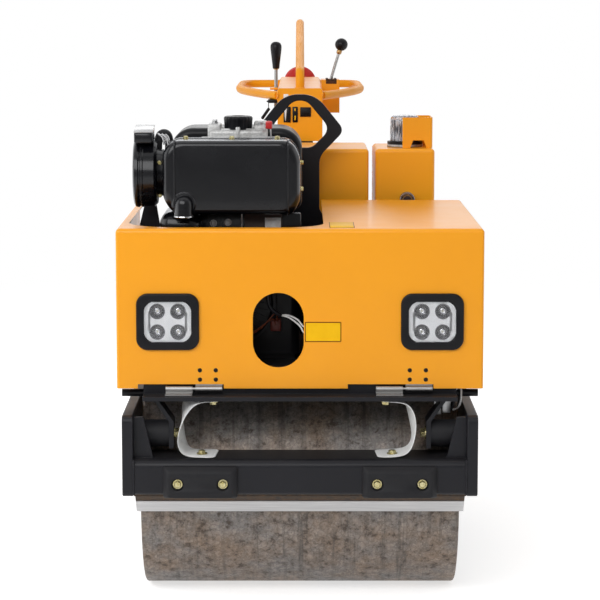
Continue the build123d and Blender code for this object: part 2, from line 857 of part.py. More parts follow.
def rocker_cover():
    """Cast cover on the head with rounded edges and a taller boss on its right."""
    x, y, z = cylinder_centre_x, behind(cylinder_centre_setback), cyl_head_top()
    cover = Pos(x, y, z + rocker_height / 2) * Box(rocker_width, rocker_length, rocker_height)
    cover = fillet(cover.edges().filter_by(Axis.Z), rocker_corner)
    cover = fillet(cover.faces().sort_by(Axis.Z)[-1].edges(), rocker_edge)
    right = x + rocker_width / 2
    boss = block((right - rocker_boss_width, right), (y - rocker_boss_front, y + rocker_boss_rear),
                 (z + weld_sink, z + rocker_height + rocker_boss_height))
    rounded = boss.edges().filter_by(Axis.Z) + boss.faces().sort_by(Axis.Z)[-1].edges()
    return cover + fillet(rounded, rocker_boss_round)


def breather_cap():
    """Ribbed round cap on the rocker cover."""
    z = cyl_head_top() + rocker_height
    at = (cylinder_centre_x, behind(cylinder_centre_setback - breather_forward), z + breather_height / 2)
    return rod("z", at, breather_radius, breather_height)


def fuel_tank():
    """Pressed steel tank behind the cylinder head, on two legs."""
    left, right = muffler_left, muffler_left + fuel_tank_width
    front = behind(cylinder_centre_setback + cyl_head_length / 2 + fuel_tank_gap)
    rear = front + fuel_tank_length
    top = cyl_head_top() + fuel_tank_rise
    bottom = top - fuel_tank_height
    rounds = [fuel_tank_foot_round, fuel_tank_foot_round, fuel_tank_round, fuel_tank_round]
    tank = slab(FRONT_VIEW, [(left, bottom), (right, bottom), (right, top), (left, top)], (front, rear), rounds)
    ends = tank.faces().sort_by(Axis.Y)[0].edges() + tank.faces().sort_by(Axis.Y)[-1].edges()
    tank = fillet(ends, fuel_tank_edge)
    block_rear = behind(engine_front + engine_length)
    along = (front + fuel_leg_width, block_rear - fuel_leg_width)
    for start in (left + fuel_leg_inset, right - fuel_leg_inset - fuel_leg_width):
        tank += block((start, start + fuel_leg_width), along,
                      (engine_base + crankcase_height, bottom + weld_sink))
    return tank


def muffler():
    """Pressed box silencer with chamfered ends, its outlet on the front and its inlet from the head."""
    left, right = muffler_left, muffler_left + muffler_width
    bottom, top = muffler_bottom, muffler_bottom + muffler_height
    wide, high = muffler_chamfer_width, muffler_chamfer_height
    y = (behind(muffler_setback), behind(muffler_setback + muffler_depth))
    outline = [(left + wide, bottom), (right - wide / 2, bottom), (right, bottom + high), (right, top - high),
               (right - wide, top), (left + wide, top), (left, top - high), (left, bottom + high)]
    box = slab(FRONT_VIEW, outline, y, muffler_edge)
    box = fillet(box.faces().sort_by(Axis.Y)[0].edges() + box.faces().sort_by(Axis.Y)[-1].edges(), muffler_edge)
    head_front = behind(cylinder_centre_setback - cyl_head_length / 2)
    inlet_start = y[1] - muffler_edge
    inlet_at = (cylinder_centre_x, (inlet_start + head_front) / 2, bottom + muffler_height / 2)
    box += rod("y", inlet_at, outlet_radius, head_front - inlet_start)
    x, shoulder = left + outlet_from_left, outlet_top - outlet_radius
    spout_at = (x, y[0], (shoulder + outlet_bottom) / 2)
    box += rod("z", spout_at, outlet_radius, shoulder - outlet_bottom)
    box += Pos(x, y[0], shoulder) * Sphere(outlet_radius)
    bore_at = (x, y[0] - outlet_wall, (shoulder + outlet_bottom) / 2 - outlet_radius)
    return box - rod("z", bore_at, outlet_radius - 2 * outlet_wall, shoulder - outlet_bottom)


def air_cleaner():
    """Round canister on its side, with an elbow to the head and a rain cap on top."""
    middle = (air_cleaner_left + air_cleaner_width / 2, behind(air_cleaner_setback), air_cleaner_height)
    can = rod("x", middle, air_cleaner_radius, air_cleaner_width)
    can = fillet(can.faces().sort_by(Axis.X)[0].edges(), air_cleaner_edge)
    cap_y = middle[1] - snorkel_forward
    can += block((middle[0] - snorkel_width / 2, middle[0] + snorkel_width / 2),
                 (cap_y - snorkel_depth / 2, cap_y + snorkel_depth / 2),
                 (air_cleaner_height + snorkel_foot, snorkel_top))
    start = air_cleaner_left + air_cleaner_width
    stop = cylinder_centre_x - cyl_head_width / 2
    turn = start + duct_reach
    port = middle[1] + air_cleaner_radius - duct_radius
    y, z = behind(cylinder_centre_setback - duct_port_forward), air_cleaner_height + duct_rise
    run = [(start - weld_sink, port, z), (turn, port, z), (turn, y, z), (stop, y, z)]
    return can + tube(run, [duct_bend, duct_bend], duct_radius)


def hydraulic_pump():
    """Round pump and coupling housing on the side of the engine."""
    start = engine_left + engine_width
    y, z = behind(engine_front + engine_length / 2), engine_base + pump_height
    bell = rod("x", (start + bell_length / 2, y, z), bell_radius, bell_length)
    return bell + rod("x", (start + pump_width / 2, y, z), pump_radius, pump_width)


def battery():
    """Starter battery on the deck, with its two terminals on top."""
    left, right = battery_left, battery_left + battery_width
    front, top = behind(battery_setback), deck_top + battery_height
    case = block((left, right), (front, front + battery_depth), (deck_top, top))
    case = fillet(case.edges().filter_by(Axis.Z), battery_round)
    for x in (left + terminal_inset, right - terminal_inset):
        at = (x, front + terminal_inset, top + terminal_height / 2)
        case += rod("z", at, terminal_radius, terminal_height)
    return case


# ---- tanks, beacon, lifting plate ------------------------------------------------------------------
def water_tank():
    """Welded sheet tank in the middle, with its filler on top."""
    y = (behind(tank_front_setback), behind(tank_front_setback + water_tank_length))
    tank = block((-water_tank_width / 2, water_tank_width / 2), y, (deck_top, tank_top))
    tank = fillet(tank.edges().filter_by(Axis.Z) + tank.faces().sort_by(Axis.Z)[-1].edges(), tank_round)
    at = (filler_left, (y[0] + y[1]) / 2, tank_top + (filler_height - weld_sink) / 2)
    return tank + rod("z", at, filler_radius, filler_height + weld_sink)


def oil_tank():
    """Hydraulic oil tank beside the water tank, with a threaded port low on its front."""
    y = (behind(tank_front_setback), behind(tank_front_setback + oil_tank_length))
    tank = block((oil_tank_left, oil_tank_left + oil_tank_width), y, (deck_top, tank_top))
    return fillet(tank.edges().filter_by(Axis.Z) + tank.faces().sort_by(Axis.Z)[-1].edges(), tank_round)


def tank_port():
    """Round fitting with an open bore on the oil tank's front face."""
    face = behind(tank_front_setback)
    ring = rod("y", (port_x, face - port_reach / 2, port_height), port_radius, port_reach)
    ring = fillet(ring.faces().sort_by(Axis.Y)[0].edges(), port_round)
    return ring - rod("y", (port_x, face - port_reach, port_height), port_bore_radius, 2 * port_bore_depth)


def beacon():
    """Fluted clear lens on a round base."""
    y = behind(beacon_setback)
    base = rod("z", (beacon_x, y, tank_top + beacon_base_height / 2), beacon_base_radius, beacon_base_height)
    lens_bottom = tank_top + beacon_base_height
    lens = rod("z", (beacon_x, y, lens_bottom + beacon_height / 2), beacon_radius, beacon_height)
    lens = fillet(lens.faces().sort_by(Axis.Z)[-1].edges(), beacon_round)
    return base, lens


def beacon_guard():
    """Sheet bent into a channel round the beacon, with a slot in its front wall."""
    front, rear = behind(guard_front_setback), behind(guard_front_setback + guard_depth)
    floor, top = tank_top, tank_top + guard_height
    over = edge_overrun
    outer = block((guard_left, guard_right), (front, rear), (floor, top))
    outer = fillet(outer.edges().filter_by(Axis.Z).group_by(Axis.X)[-1], guard_bend)
    inner = block((guard_left - over, guard_right - guard_sheet), (front + guard_sheet, rear - guard_sheet),
                  (floor - over, top + over))
    inner = fillet(inner.edges().filter_by(Axis.Z).group_by(Axis.X)[-1], guard_bend - guard_sheet)
    left, right = guard_left + guard_slot_left, guard_right - guard_slot_right
    slot_top = floor + guard_slot_height
    slot = [(left, floor - over), (left, floor), (left + guard_slot_taper, slot_top),
            (right - guard_slot_taper, slot_top), (right, floor), (right, floor - over)]
    return outer - inner - slab(FRONT_VIEW, slot, (front - over, front + over))


def lifting_plate():
    """Upright plate ending in a broad hoop that a crane hook passes through, on a welded foot."""
    half = [(lift_trunk_half_width, deck_top), (lift_trunk_half_width, lift_neck_height - lift_neck_drop),
            (lift_elbow_half_width, lift_elbow_height),
            (lift_elbow_half_width * lift_apex_share, lift_apex_height)]
    bends = [0, 20, 22, 34]
    front, rear = behind(lift_plate_setback), behind(lift_plate_setback + lift_plate_thickness)
    plate = slab(FRONT_VIEW, mirrored(half), (front, rear), bends + bends[::-1])
    hole = [(lift_hole_half_width * lift_hole_foot_share, lift_hole_bottom),
            (lift_hole_half_width, lift_elbow_height),
            (lift_hole_half_width * lift_hole_top_share, lift_hole_top)]
    rounds = [12, 12, 16]
    plate -= slab(FRONT_VIEW, mirrored(hole), (front - weld_sink, rear + weld_sink), rounds + rounds[::-1])
    middle, reach = (front + rear) / 2, lift_trunk_half_width + lift_foot_overhang
    foot = block((-reach, reach), (middle - lift_foot_depth / 2, middle + lift_foot_depth / 2),
                 (deck_top, deck_top + lift_foot_height))
    return plate + foot


def mirrored(half):
    """Whole outline from the points of its right half."""
    return half + [(-x, z) for x, z in reversed(half)]


# ---- steering arm ----------------------------------------------------------------------------------
def mast():
    """Two raked cheek plates with a web between them, an eye for the arm's pin and a rest."""
    front, rear = behind(mast_foot_front), behind(mast_foot_front + mast_foot_length)
    py, pz = behind(pivot_setback), pivot_height
    eye, wall = pivot_eye_radius, mast_wall
    shin = pz - mast_shin
    outline = [(front, deck_top), (rear, deck_top), (py + eye, pz - mast_knee),
               (py + eye + mast_rest_reach, head_bottom - mast_rest_drop),
               (py + eye / 2, pz + eye), (py - eye, pz + eye / 3), (py - eye, shin)]
    bends = [0, 60, 20, 4, 12, 20, 60]
    cheeks = slab(SIDE_VIEW, outline, (-mast_half_width, mast_half_width), bends)
    inside = mast_half_width - wall
    hollow = [(front + wall, deck_top + 3 * wall), (rear + mast_shin, deck_top + 3 * wall),
              (py + eye + mast_shin, shin), (py - eye + wall, shin)]
    post = cheeks - slab(SIDE_VIEW, hollow, (-inside, inside), 0)
    return post - rod("x", (0, py, pz), pivot_radius + pivot_running_gap, 4 * mast_half_width)


def arm_rest():
    """Rubber pad on the mast that the arm's head lies on."""
    y = (behind(rest_pad_setback), behind(rest_pad_setback + rest_pad_length))
    return block((-rest_pad_half_width, rest_pad_half_width), y,
                 (head_bottom - rest_pad_height, head_bottom - rest_gap))


def pivot_pin():
    """Headed pin through the mast and the ears of the head."""
    centre = (0, behind(pivot_setback), pivot_height)
    reach = mast_half_width + pivot_pin_overhang
    pin = rod("x", centre, pivot_radius, 2 * reach)
    for side in SIDES:
        pin += rod("x", (side * reach, centre[1], centre[2]), pivot_radius + pin_head_extra, pin_head_length)
    return pin


def arm_head():
    """Long welded box with the switch panel on its front end and two ears down to the pin."""
    y = (behind(head_front_setback), behind(head_rear_setback))
    box = block((-head_half_width, head_half_width), y, (head_bottom, head_top))
    box = fillet(box.edges().filter_by(Axis.Y), head_round)
    py, pz = behind(pivot_setback), pivot_height
    r, ear_top, ear_end = pivot_eye_radius, head_bottom + head_ear_lap, behind(pivot_setback) + head_ear_length
    near = y[0] + weld_sink
    for side in SIDES:
        x = sorted((side * head_half_width, side * (head_half_width - head_ear_thickness)))
        outline = [(py - r, pz + r / 6), (py - r, pz - r), (py + r, pz - r), (ear_end, head_bottom + weld_sink),
                   (ear_end, ear_top), (near, ear_top), (near, head_bottom)]
        box += slab(SIDE_VIEW, outline, x, [r / 3, r * 0.9, head_ear_bend, 0, 0, 0, 0])
    return box - rod("x", (0, py, pz), pivot_radius + pivot_running_gap, 4 * head_half_width)


def handle_loop():
    """Bent bar on each side of the head, from near its front end round to near its rear end."""
    start = behind(head_front_setback + loop_front_inset)
    shoulder = behind(head_front_setback + loop_shoulder_inset)
    rear = behind(head_rear_setback - loop_rear_inset)
    w, z, inner = loop_half_width, loop_height, head_half_width - loop_end_inset
    head = block((-head_half_width, head_half_width), (start - w, rear + w), (z - inner, z + inner))
    halves = []
    for side in SIDES:
        points = [(side * inner, start - inner, z), (side * (w - loop_flare), shoulder - loop_end_inset, z),
                  (side * w, shoulder + loop_bend, z), (side * w, rear, z), (side * inner, rear, z)]
        halves.append(tube(points, [loop_front_bend, loop_shoulder_bend, loop_bend], bar_radius) - head)
    return Compound(children=halves)


def bow_tube():
    """Upright bow along the top of the head: it climbs to the rear and drops back to the head."""
    front, rear = behind(head_front_setback + bow_front_inset), behind(head_rear_setback - bow_rear_inset)
    top = bow_top - bar_radius
    points = [(0, front, head_top), (0, front, head_top + bow_upstand), (0, rear, top), (0, rear, head_top)]
    return tube(points, [bow_front_bend, bow_rear_bend], bar_radius)


def lever_left():
    """Speed lever on the left of the head: a rod with a tapered grip."""
    x, y = lever_left_x, behind(head_front_setback + lever_left_inset)
    rod_top = lever_left_top - 2 * grip_top_radius
    shaft = rod("z", (x, y, (lever_left_foot + rod_top) / 2), lever_rod_radius, rod_top - lever_left_foot)
    cap_z = lever_left_top - grip_top_radius
    grip = Pos(x, y, cap_z - grip_length / 2) * Cone(grip_bottom_radius, grip_top_radius, grip_length)
    cap = Pos(x, y, cap_z) * Sphere(grip_top_radius)
    boss_at = (x + weld_sink, y, lever_left_foot + lever_rod_radius)
    boss = rod("x", boss_at, lever_boss_radius, lever_boss_length)
    return shaft + boss, grip + cap - shaft


def gate_box():
    """Sheet box on the right of the head, slotted on top for its lever."""
    front = behind(head_front_setback + gate_box_inset)
    rear = front + gate_box_length
    box = block((head_half_width - weld_sink, head_half_width + gate_box_width), (front, rear),
                (gate_box_bottom, gate_box_top))
    slot_x = head_half_width + gate_box_width / 2
    slot = block((slot_x - gate_slot_left, slot_x + gate_slot_right),
                 (front + gate_slot_margin, rear - gate_slot_margin),
                 (gate_box_top - gate_slot_depth, gate_box_top + edge_overrun))
    return box - slot


def lever_right():
    """Throttle lever that leans outwards from the slot to its ball knob."""
    x = head_half_width + gate_box_width / 2
    y = behind(head_front_setback + gate_box_inset) + gate_box_length / 2
    foot, top = gate_box_top - gate_slot_depth, lever_right_top - ball_radius
    lean = lever_right_lean
    length = hypot(lean, top - foot)
    sunk = gate_rod_radius / (top - foot)
    path = Line((x - lean * sunk, y, foot - gate_rod_radius), (x + lean, y, top))
    shaft = sweep(Plane(origin=path @ 0, z_dir=path % 0) * Circle(gate_rod_radius), path=path)
    wide = 2 * lever_right_lean
    shaft -= block((x - wide, x + wide), (y - wide, y + wide), (foot - wide, foot))
    knob_x = x + lean * (1 + gate_rod_radius / length)
    return shaft, Pos(knob_x, y, top) * Sphere(ball_radius) - shaft


def stop_disc():
    """Round red palm button behind the head, on its plunger."""
    rear = behind(head_rear_setback)
    neck = stop_disc_reach - stop_disc_thickness
    plunger = rod("y", (0, rear + neck / 2, stop_disc_height - plunger_drop), plunger_radius, neck)
    disc = rod("y", (0, rear + neck + stop_disc_thickness / 2, stop_disc_height), stop_disc_radius,
               stop_disc_thickness)
    return plunger + fillet(disc.edges(), stop_disc_round)


# ---- assembly --------------------------------------------------------------------------------------
def build():
    """Every node of the machine by name."""
    beacon_base, beacon_lens = beacon()
    left_shaft, left_grip = lever_left()
    right_shaft, right_knob = lever_right()
    nodes = {
        "drum_front": drum(-1), "drum_rear": drum(1), "stub_axles": stub_axles(),
        "side_plate_left": side_plate(-1), "side_plate_right": side_plate(1),
        "beam_front": cross_beam(-1), "beam_rear": cross_beam(1),
        "bumper_pads": bumper_pads(), "scrapers": Compound(children=[scraper(end) for end in ENDS]),
        "upper_frame": upper_frame(), "rubber_mounts": rubber_mounts(),
        "limit_straps": limit_straps(),
        "spray_pipes": spray_pipes(), "hood_rests": hood_rests(),
        "work_lamps": Compound(children=[work_lamp(side) for side in SIDES]),
        "lamp_reflectors": lamp_reflectors(),
        "hood_knuckles": hood_knuckles(), "frame_knuckles": frame_knuckles(),
        "crankcase": crankcase(), "cylinder_and_head": cylinder_and_head(),
        "rocker_cover": rocker_cover(), "breather_cap": breather_cap(), "fuel_tank": fuel_tank(),
        "muffler": muffler(), "air_cleaner": air_cleaner(),
        "hydraulic_pump": hydraulic_pump(), "battery": battery(),
        "water_tank": water_tank(), "oil_tank": oil_tank(), "tank_port": tank_port(),
        "beacon_base": beacon_base, "beacon_lens": beacon_lens, "beacon_guard": beacon_guard(),
        "lifting_plate": lifting_plate(),
        "mast": mast(), "arm_rest": arm_rest(), "pivot_pin": pivot_pin(),
        "arm_head": arm_head() + gate_box(), "handle_loop": handle_loop(), "bow_tube": bow_tube(),
        "lever_rods": Compound(children=[left_shaft, right_shaft]),
        "lever_knobs": Compound(children=[left_grip, right_knob]),
        "stop_disc": stop_disc(),
    }
    nodes.update(hood_panels())
    return nodes


os.makedirs("parts", exist_ok=True)
for name, shape in build().items():
    export_step(shape, f"parts/{name}.step")
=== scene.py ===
import math

import bmesh
import bpy
from mathutils import Matrix, Vector


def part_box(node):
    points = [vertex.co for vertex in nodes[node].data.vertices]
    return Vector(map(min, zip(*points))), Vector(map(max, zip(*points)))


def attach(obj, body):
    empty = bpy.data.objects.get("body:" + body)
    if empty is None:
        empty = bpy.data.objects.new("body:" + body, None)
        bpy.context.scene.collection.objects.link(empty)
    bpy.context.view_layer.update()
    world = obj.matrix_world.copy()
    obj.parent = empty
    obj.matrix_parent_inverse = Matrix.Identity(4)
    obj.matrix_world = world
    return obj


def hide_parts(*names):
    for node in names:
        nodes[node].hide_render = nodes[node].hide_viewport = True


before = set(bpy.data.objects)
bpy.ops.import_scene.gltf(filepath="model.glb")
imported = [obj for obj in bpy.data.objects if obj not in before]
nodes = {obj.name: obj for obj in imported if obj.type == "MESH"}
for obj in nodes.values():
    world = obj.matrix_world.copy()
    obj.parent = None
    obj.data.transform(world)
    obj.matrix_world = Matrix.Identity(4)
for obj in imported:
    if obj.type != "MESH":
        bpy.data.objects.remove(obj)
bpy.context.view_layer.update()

# ---- studio --------------------------------------------------------------------------------------
# A wide white floor that fades into a white surround, with a large soft light overhead and softer
# ones at the front and sides, as a product is shown in a light tent.


def placed(name, mesh):
    """A new object at the origin, whose place is in its mesh."""
    piece = bpy.data.objects.new(name, mesh)
    bpy.context.scene.collection.objects.link(piece)
    return piece


def turns(count):
    """Angles round a circle."""
    return [math.tau * n / count for n in range(count)]


def chosen(sockets, label):
    """The socket at a place, or the one in use with a name."""
    if isinstance(label, int):
        return sockets[label]
    return [socket for socket in sockets if socket.name == label and socket.enabled][0]


def add(tree, kind, *ins, give=0, **more):
    """Adds a node and gives back one of its outputs, or the node where give is None.

    Inputs are sockets or values, in order or under capitalised names. Other names are settings.
    """
    node = tree.nodes.new(kind)
    for label, value in more.items():
        if label[0].islower():
            setattr(node, label, value)
    named = [(label.replace("_", " "), value) for label, value in more.items() if label[0].isupper()]
    for label, value in [*enumerate(ins), *named]:
        if isinstance(value, bpy.types.NodeSocket):
            tree.links.new(value, chosen(node.inputs, label))
        elif value is not None:
            socket = chosen(node.inputs, label)
            socket.default_value = (*value, 1) if socket.type == "RGBA" and len(value) == 3 else value
    return node if give is None else chosen(node.outputs, give)


def math_node(tree, operation, first, second=None):
    return add(tree, "ShaderNodeMath", first, second, operation=operation)


def ramp(tree, source, low, high, to_low=0.0, to_high=1.0):
    """Value stretched from one range to another and held inside it."""
    return add(tree, "ShaderNodeMapRange", source, low, high, to_low, to_high)


def cleared(block):
    """The empty node tree of a material or a world."""
    block.use_nodes = True
    block.node_tree.nodes.clear()
    return block.node_tree


def studio_white(name, near, far):
    """Matt white that keeps shadows near the middle and fades to plain white further out."""
    white = bpy.data.materials.new(name)
    tree = cleared(white)
    seen = add(tree, "ShaderNodeLightPath", give=None).outputs
    place = add(tree, "ShaderNodeTexCoord", give="Object")
    reach = add(tree, "ShaderNodeVectorMath", place, operation="LENGTH", give="Value")
    ahead = ramp(tree, add(tree, "ShaderNodeSeparateXYZ", place, give="Y"), -3.4, -0.9, 0.28)
    mirrored = math_node(tree, "MULTIPLY", seen["Is Glossy Ray"], ahead)
    either = math_node(tree, "MAXIMUM", seen["Is Camera Ray"], mirrored)
    glow = math_node(tree, "MULTIPLY", ramp(tree, reach, near, far, 0.62), either)
    shine = add(tree, "ShaderNodeEmission", Strength=glow)
    shadowed = add(tree, "ShaderNodeAddShader", add(tree, "ShaderNodeBsdfDiffuse", (0.86, 0.86, 0.86)), shine)
    lit = math_node(tree, "MULTIPLY", ramp(tree, reach, near, far), seen["Is Camera Ray"])
    add(tree, "ShaderNodeOutputMaterial", add(tree, "ShaderNodeMixShader", lit, shadowed, shine), give=None)
    return white


floor_rings, floor_sides = (3.0, 12.0, 60.0), 48
floor_verts = [(0, 0, 0)]
for radius in floor_rings:
    floor_verts += [(radius * math.cos(angle), radius * math.sin(angle), 0) for angle in turns(floor_sides)]
floor_faces = [(0, 1 + n, 1 + (n + 1) % floor_sides) for n in range(floor_sides)]
for inner in range(1, len(floor_verts) - floor_sides, floor_sides):
    for n in range(floor_sides):
        on = (n + 1) % floor_sides
        floor_faces.append((inner + n, inner + floor_sides + n, inner + floor_sides + on, inner + on))
floor_mesh = bpy.data.meshes.new("studio_floor")
floor_mesh.from_pydata(floor_verts, [], floor_faces)
floor_mesh.materials.append(studio_white("studio white", 1.6, 4.2))
placed("studio_floor", floor_mesh)

# name, place, where it aims, size, watts
for name, place, aim, size, watts in (("overhead light", (0, -0.3, 3.6), (0, -0.2, 0.5), (4.0, 4.0), 19),
                                      ("front light", (-1.6, -4.1, 2.75), (0, -0.5, 0.45), (4.2, 2.2), 119),
                                      ("left light", (-3.4, -0.6, 1.5), (0, -0.3, 0.6), (2.6, 2.6), 30),
                                      ("right light", (3.4, -0.6, 1.5), (0, -0.3, 0.6), (2.6, 2.6), 14),
                                      ("rear light", (0, 3.4, 2.4), (0, 0.3, 0.6), (3.0, 1.6), 22)):
    lamp = bpy.data.lights.new(name, "AREA")
    lamp.shape = "RECTANGLE"
    lamp.size, lamp.size_y = size
    lamp.energy = watts
    holder = placed(name, lamp)
    holder.location = place
    holder.rotation_euler = (Vector(aim) - Vector(place)).to_track_quat("-Z", "Y").to_euler()

sky = bpy.data.worlds.new("studio air")
bpy.context.scene.world = sky
air = cleared(sky)
seen = add(air, "ShaderNodeLightPath", give=None).outputs
way = add(air, "ShaderNodeSeparateXYZ", add(air, "ShaderNodeTexCoord", give="Generated"), give="Y")
mirrored = math_node(air, "MAXIMUM", seen["Is Glossy Ray"], seen["Is Transmission Ray"])
gloss = math_node(air, "MULTIPLY", mirrored, ramp(air, way, -0.85, 0.1, 0.05, 0.85))
level = ramp(air, math_node(air, "MAXIMUM", seen["Is Camera Ray"], gloss), 0.0, 1.0, 0.3)
add(air, "ShaderNodeOutputWorld", add(air, "ShaderNodeBackground", (1, 1, 1), level), give=None)

lens = bpy.data.cameras.new("camera")
lens.lens = 138.0
lens.sensor_width = 36.0
camera = placed("camera", lens)
camera.location = (0, -5.152, 1.136)
camera.rotation_euler = (math.radians(90 - 7.43), 0, 0)
bpy.context.scene.camera = camera
bpy.context.scene.view_settings.view_transform = "Standard"

# ---- drums ---------------------------------------------------------------------------------------
# Two drums rolled from thick steel plate and welded to recessed end discs. Their faces are bare
# steel, ground bright by use, with brown patches and scratches that run round them.


def wire(tree, *links):
    """Joins sockets given as pairs, the giving one first."""
    for giver, taker in links:
        tree.links.new(giver, taker)


socket_kinds = {float: "Float", int: "Int", tuple: "Vector"}


def new_group(name, family, ins, outs):
    """Node group with named sockets, which are given by a kind or a first value.

    Gives back the tree, its inputs as sockets to take from, and its outputs as sockets to fill.
    """
    group = bpy.data.node_groups.new(name, family + "NodeTree")
    for way, sockets in (("INPUT", ins), ("OUTPUT", outs)):
        for label, value in sockets.items():
            kind = value if isinstance(value, str) else socket_kinds[type(value)]
            socket = group.interface.new_socket(name=label, in_out=way, socket_type="NodeSocket" + kind)
            if value is not kind:
                socket.default_value = value
    return group, group.nodes.new("NodeGroupInput").outputs, group.nodes.new("NodeGroupOutput").inputs


def noise(tree, vector, scale, detail=4.0, rough=0.55, stretch=None):
    """Noise value on the given vector, which may be stretched along its axes first."""
    if stretch:
        vector = add(tree, "ShaderNodeMapping", vector, Scale=stretch)
    return add(tree, "ShaderNodeTexNoise", vector, Scale=scale, Detail=detail, Roughness=rough, give="Fac")


def blend_colour(tree, mask, first, second):
    """Colour between two, by a mask. Each is a socket or a plain colour."""
    return add(tree, "ShaderNodeMix", mask, A=first, B=second, data_type="RGBA", give="Result")


def finish_material(name, **plain):
    """Principled material. Plain values go on the shader's own sockets."""
    made = bpy.data.materials.new(name)
    made.use_nodes = True
    shader = made.node_tree.nodes["Principled BSDF"]
    for label, value in plain.items():
        shader.inputs[label.replace("_", " ")].default_value = value
    return made, made.node_tree, shader


def object_vector(tree):
    return add(tree, "ShaderNodeTexCoord", give="Object")


def bump(tree, height, shader, strength, distance, soft=None):
    """Bump from a height in the shader's normal, over softened edges where asked."""
    edges = add(tree, "ShaderNodeBevel", soft, samples=4) if soft else None
    raised = add(tree, "ShaderNodeBump", strength, distance, Height=height, Normal=edges)
    wire(tree, (raised, shader.inputs["Normal"]))


def coat(material, *names):
    """Gives carried-over nodes their material."""
    for name in names:
        slots = nodes[name].material_slots
        for slot in slots:
            slot.link = "DATA"
            slot.material = material
        if not slots:
            nodes[name].data.materials.append(material)


# brown and grey patches, a fine crackle, streaks round the drum and pits, on bare steel
stain, given, out = new_group("worked steel", "Shader", {"Vector": "Vector"},
                              dict.fromkeys(("Patch", "Mottle", "Crackle", "Streak", "Pit"), "Float"))
ripple = add(stain, "ShaderNodeTexNoise", given["Vector"], Scale=75, Detail=4, give="Color")
warp = add(stain, "ShaderNodeVectorMath", ripple, (0.035, 0.035, 0.035), given["Vector"],
           operation="MULTIPLY_ADD")
cracks = add(stain, "ShaderNodeTexVoronoi", warp, Scale=62, feature="DISTANCE_TO_EDGE", give="Distance")
for label, *grain in (("Patch", 7, 6, 0.62), ("Mottle", 54, 9, 0.76), ("Pit", 230, 4, 0.7),
                      ("Streak", 30, 7, 0.66, (3.0, 0.13, 0.13))):
    wire(stain, (noise(stain, given["Vector"], *grain), out[label]))
wire(stain, (ramp(stain, cracks, 0.0, 0.13, 1.0, 0.0), out["Crackle"]))

drum_steel, tree, shader = finish_material("worked drum steel", Metallic=0.45)
marks = add(tree, "ShaderNodeGroup", object_vector(tree), node_tree=stain, give=None).outputs
worn = math_node(tree, "MULTIPLY", marks["Crackle"], ramp(tree, marks["Mottle"], 0.38, 0.62, 0.12, 0.55))
tone = blend_colour(tree, ramp(tree, marks["Patch"], 0.42, 0.6), (0.222, 0.206, 0.196), (0.25, 0.184, 0.136))
for mask, colour in ((ramp(tree, marks["Mottle"], 0.5, 0.68, 0.0, 0.6), (0.42, 0.355, 0.305)),
                     (ramp(tree, marks["Mottle"], 0.385, 0.475, 0.85, 0.0), (0.066, 0.048, 0.036)),
                     (ramp(tree, marks["Streak"], 0.51, 0.68, 0.0, 0.7), (0.08, 0.07, 0.063)),
                     (worn, (0.045, 0.038, 0.033)),
                     (ramp(tree, marks["Pit"], 0.56, 0.7, 0.0, 0.7), (0.055, 0.046, 0.04))):
    tone = blend_colour(tree, mask, tone, colour)
wire(tree, (tone, shader.inputs["Base Color"]),
     (ramp(tree, marks["Mottle"], 0.3, 0.7, 0.66, 0.44), shader.inputs["Roughness"]))
bump(tree, math_node(tree, "ADD", marks["Pit"], marks["Mottle"]), shader, 0.3, 0.0006)
coat(drum_steel, "drum_front", "drum_rear")

# ---- lower frame ---------------------------------------------------------------------------------
# Flame-cut side plates joined by folded channels, sprayed satin black. The paint is thin on the
# edges and carries dust in its upper faces.

# soft mottling, fine orange peel, a mask of thin paint along the edges and one of upper faces
coatwork, given, out = new_group("sprayed paint", "Shader", {"Vector": "Vector", "Edge Width": 0.0015},
                                 dict.fromkeys(("Mottle", "Peel", "Edge", "Top"), "Float"))
rounded_way = add(coatwork, "ShaderNodeBevel", given["Edge Width"], samples=4)
here_way = add(coatwork, "ShaderNodeNewGeometry", give="Normal")
alike = add(coatwork, "ShaderNodeVectorMath", rounded_way, here_way, operation="DOT_PRODUCT", give="Value")
patchy = ramp(coatwork, noise(coatwork, given["Vector"], 45, 5, 0.7), 0.52, 0.64)
upward = add(coatwork, "ShaderNodeSeparateXYZ", here_way, give="Z")
wire(coatwork, (noise(coatwork, given["Vector"], 7, 4, 0.6), out["Mottle"]),
     (noise(coatwork, given["Vector"], 650, 2, 0.5), out["Peel"]),
     (math_node(coatwork, "MULTIPLY", ramp(coatwork, alike, 0.995, 0.9), patchy), out["Edge"]),
     (ramp(coatwork, upward, 0.6, 1.0), out["Top"]))


def painted(name, colour, shade, worn, rough, peel=0.05, soft=0.0015, dust=0.0, **plain):
    """Sprayed paint: its colour and shade mottled, worn to another colour on its edges."""
    made, tree, shader = finish_material(name, **plain)
    work = add(tree, "ShaderNodeGroup", object_vector(tree), soft, node_tree=coatwork, give=None).outputs
    tone = blend_colour(tree, ramp(tree, work["Mottle"], 0.3, 0.7), colour, shade)
    if dust:
        lying = math_node(tree, "MULTIPLY", work["Top"], ramp(tree, work["Mottle"], 0.35, 0.65, 0.3))
        tone = blend_colour(tree, math_node(tree, "MULTIPLY", lying, dust), tone, (0.42, 0.39, 0.35))
    wire(tree, (blend_colour(tree, work["Edge"], tone, worn), shader.inputs["Base Color"]),
         (ramp(tree, work["Mottle"], 0.3, 0.7, rough - 0.04, rough + 0.05), shader.inputs["Roughness"]))
    bump(tree, work["Peel"], shader, peel, 0.0004, soft)
    return made


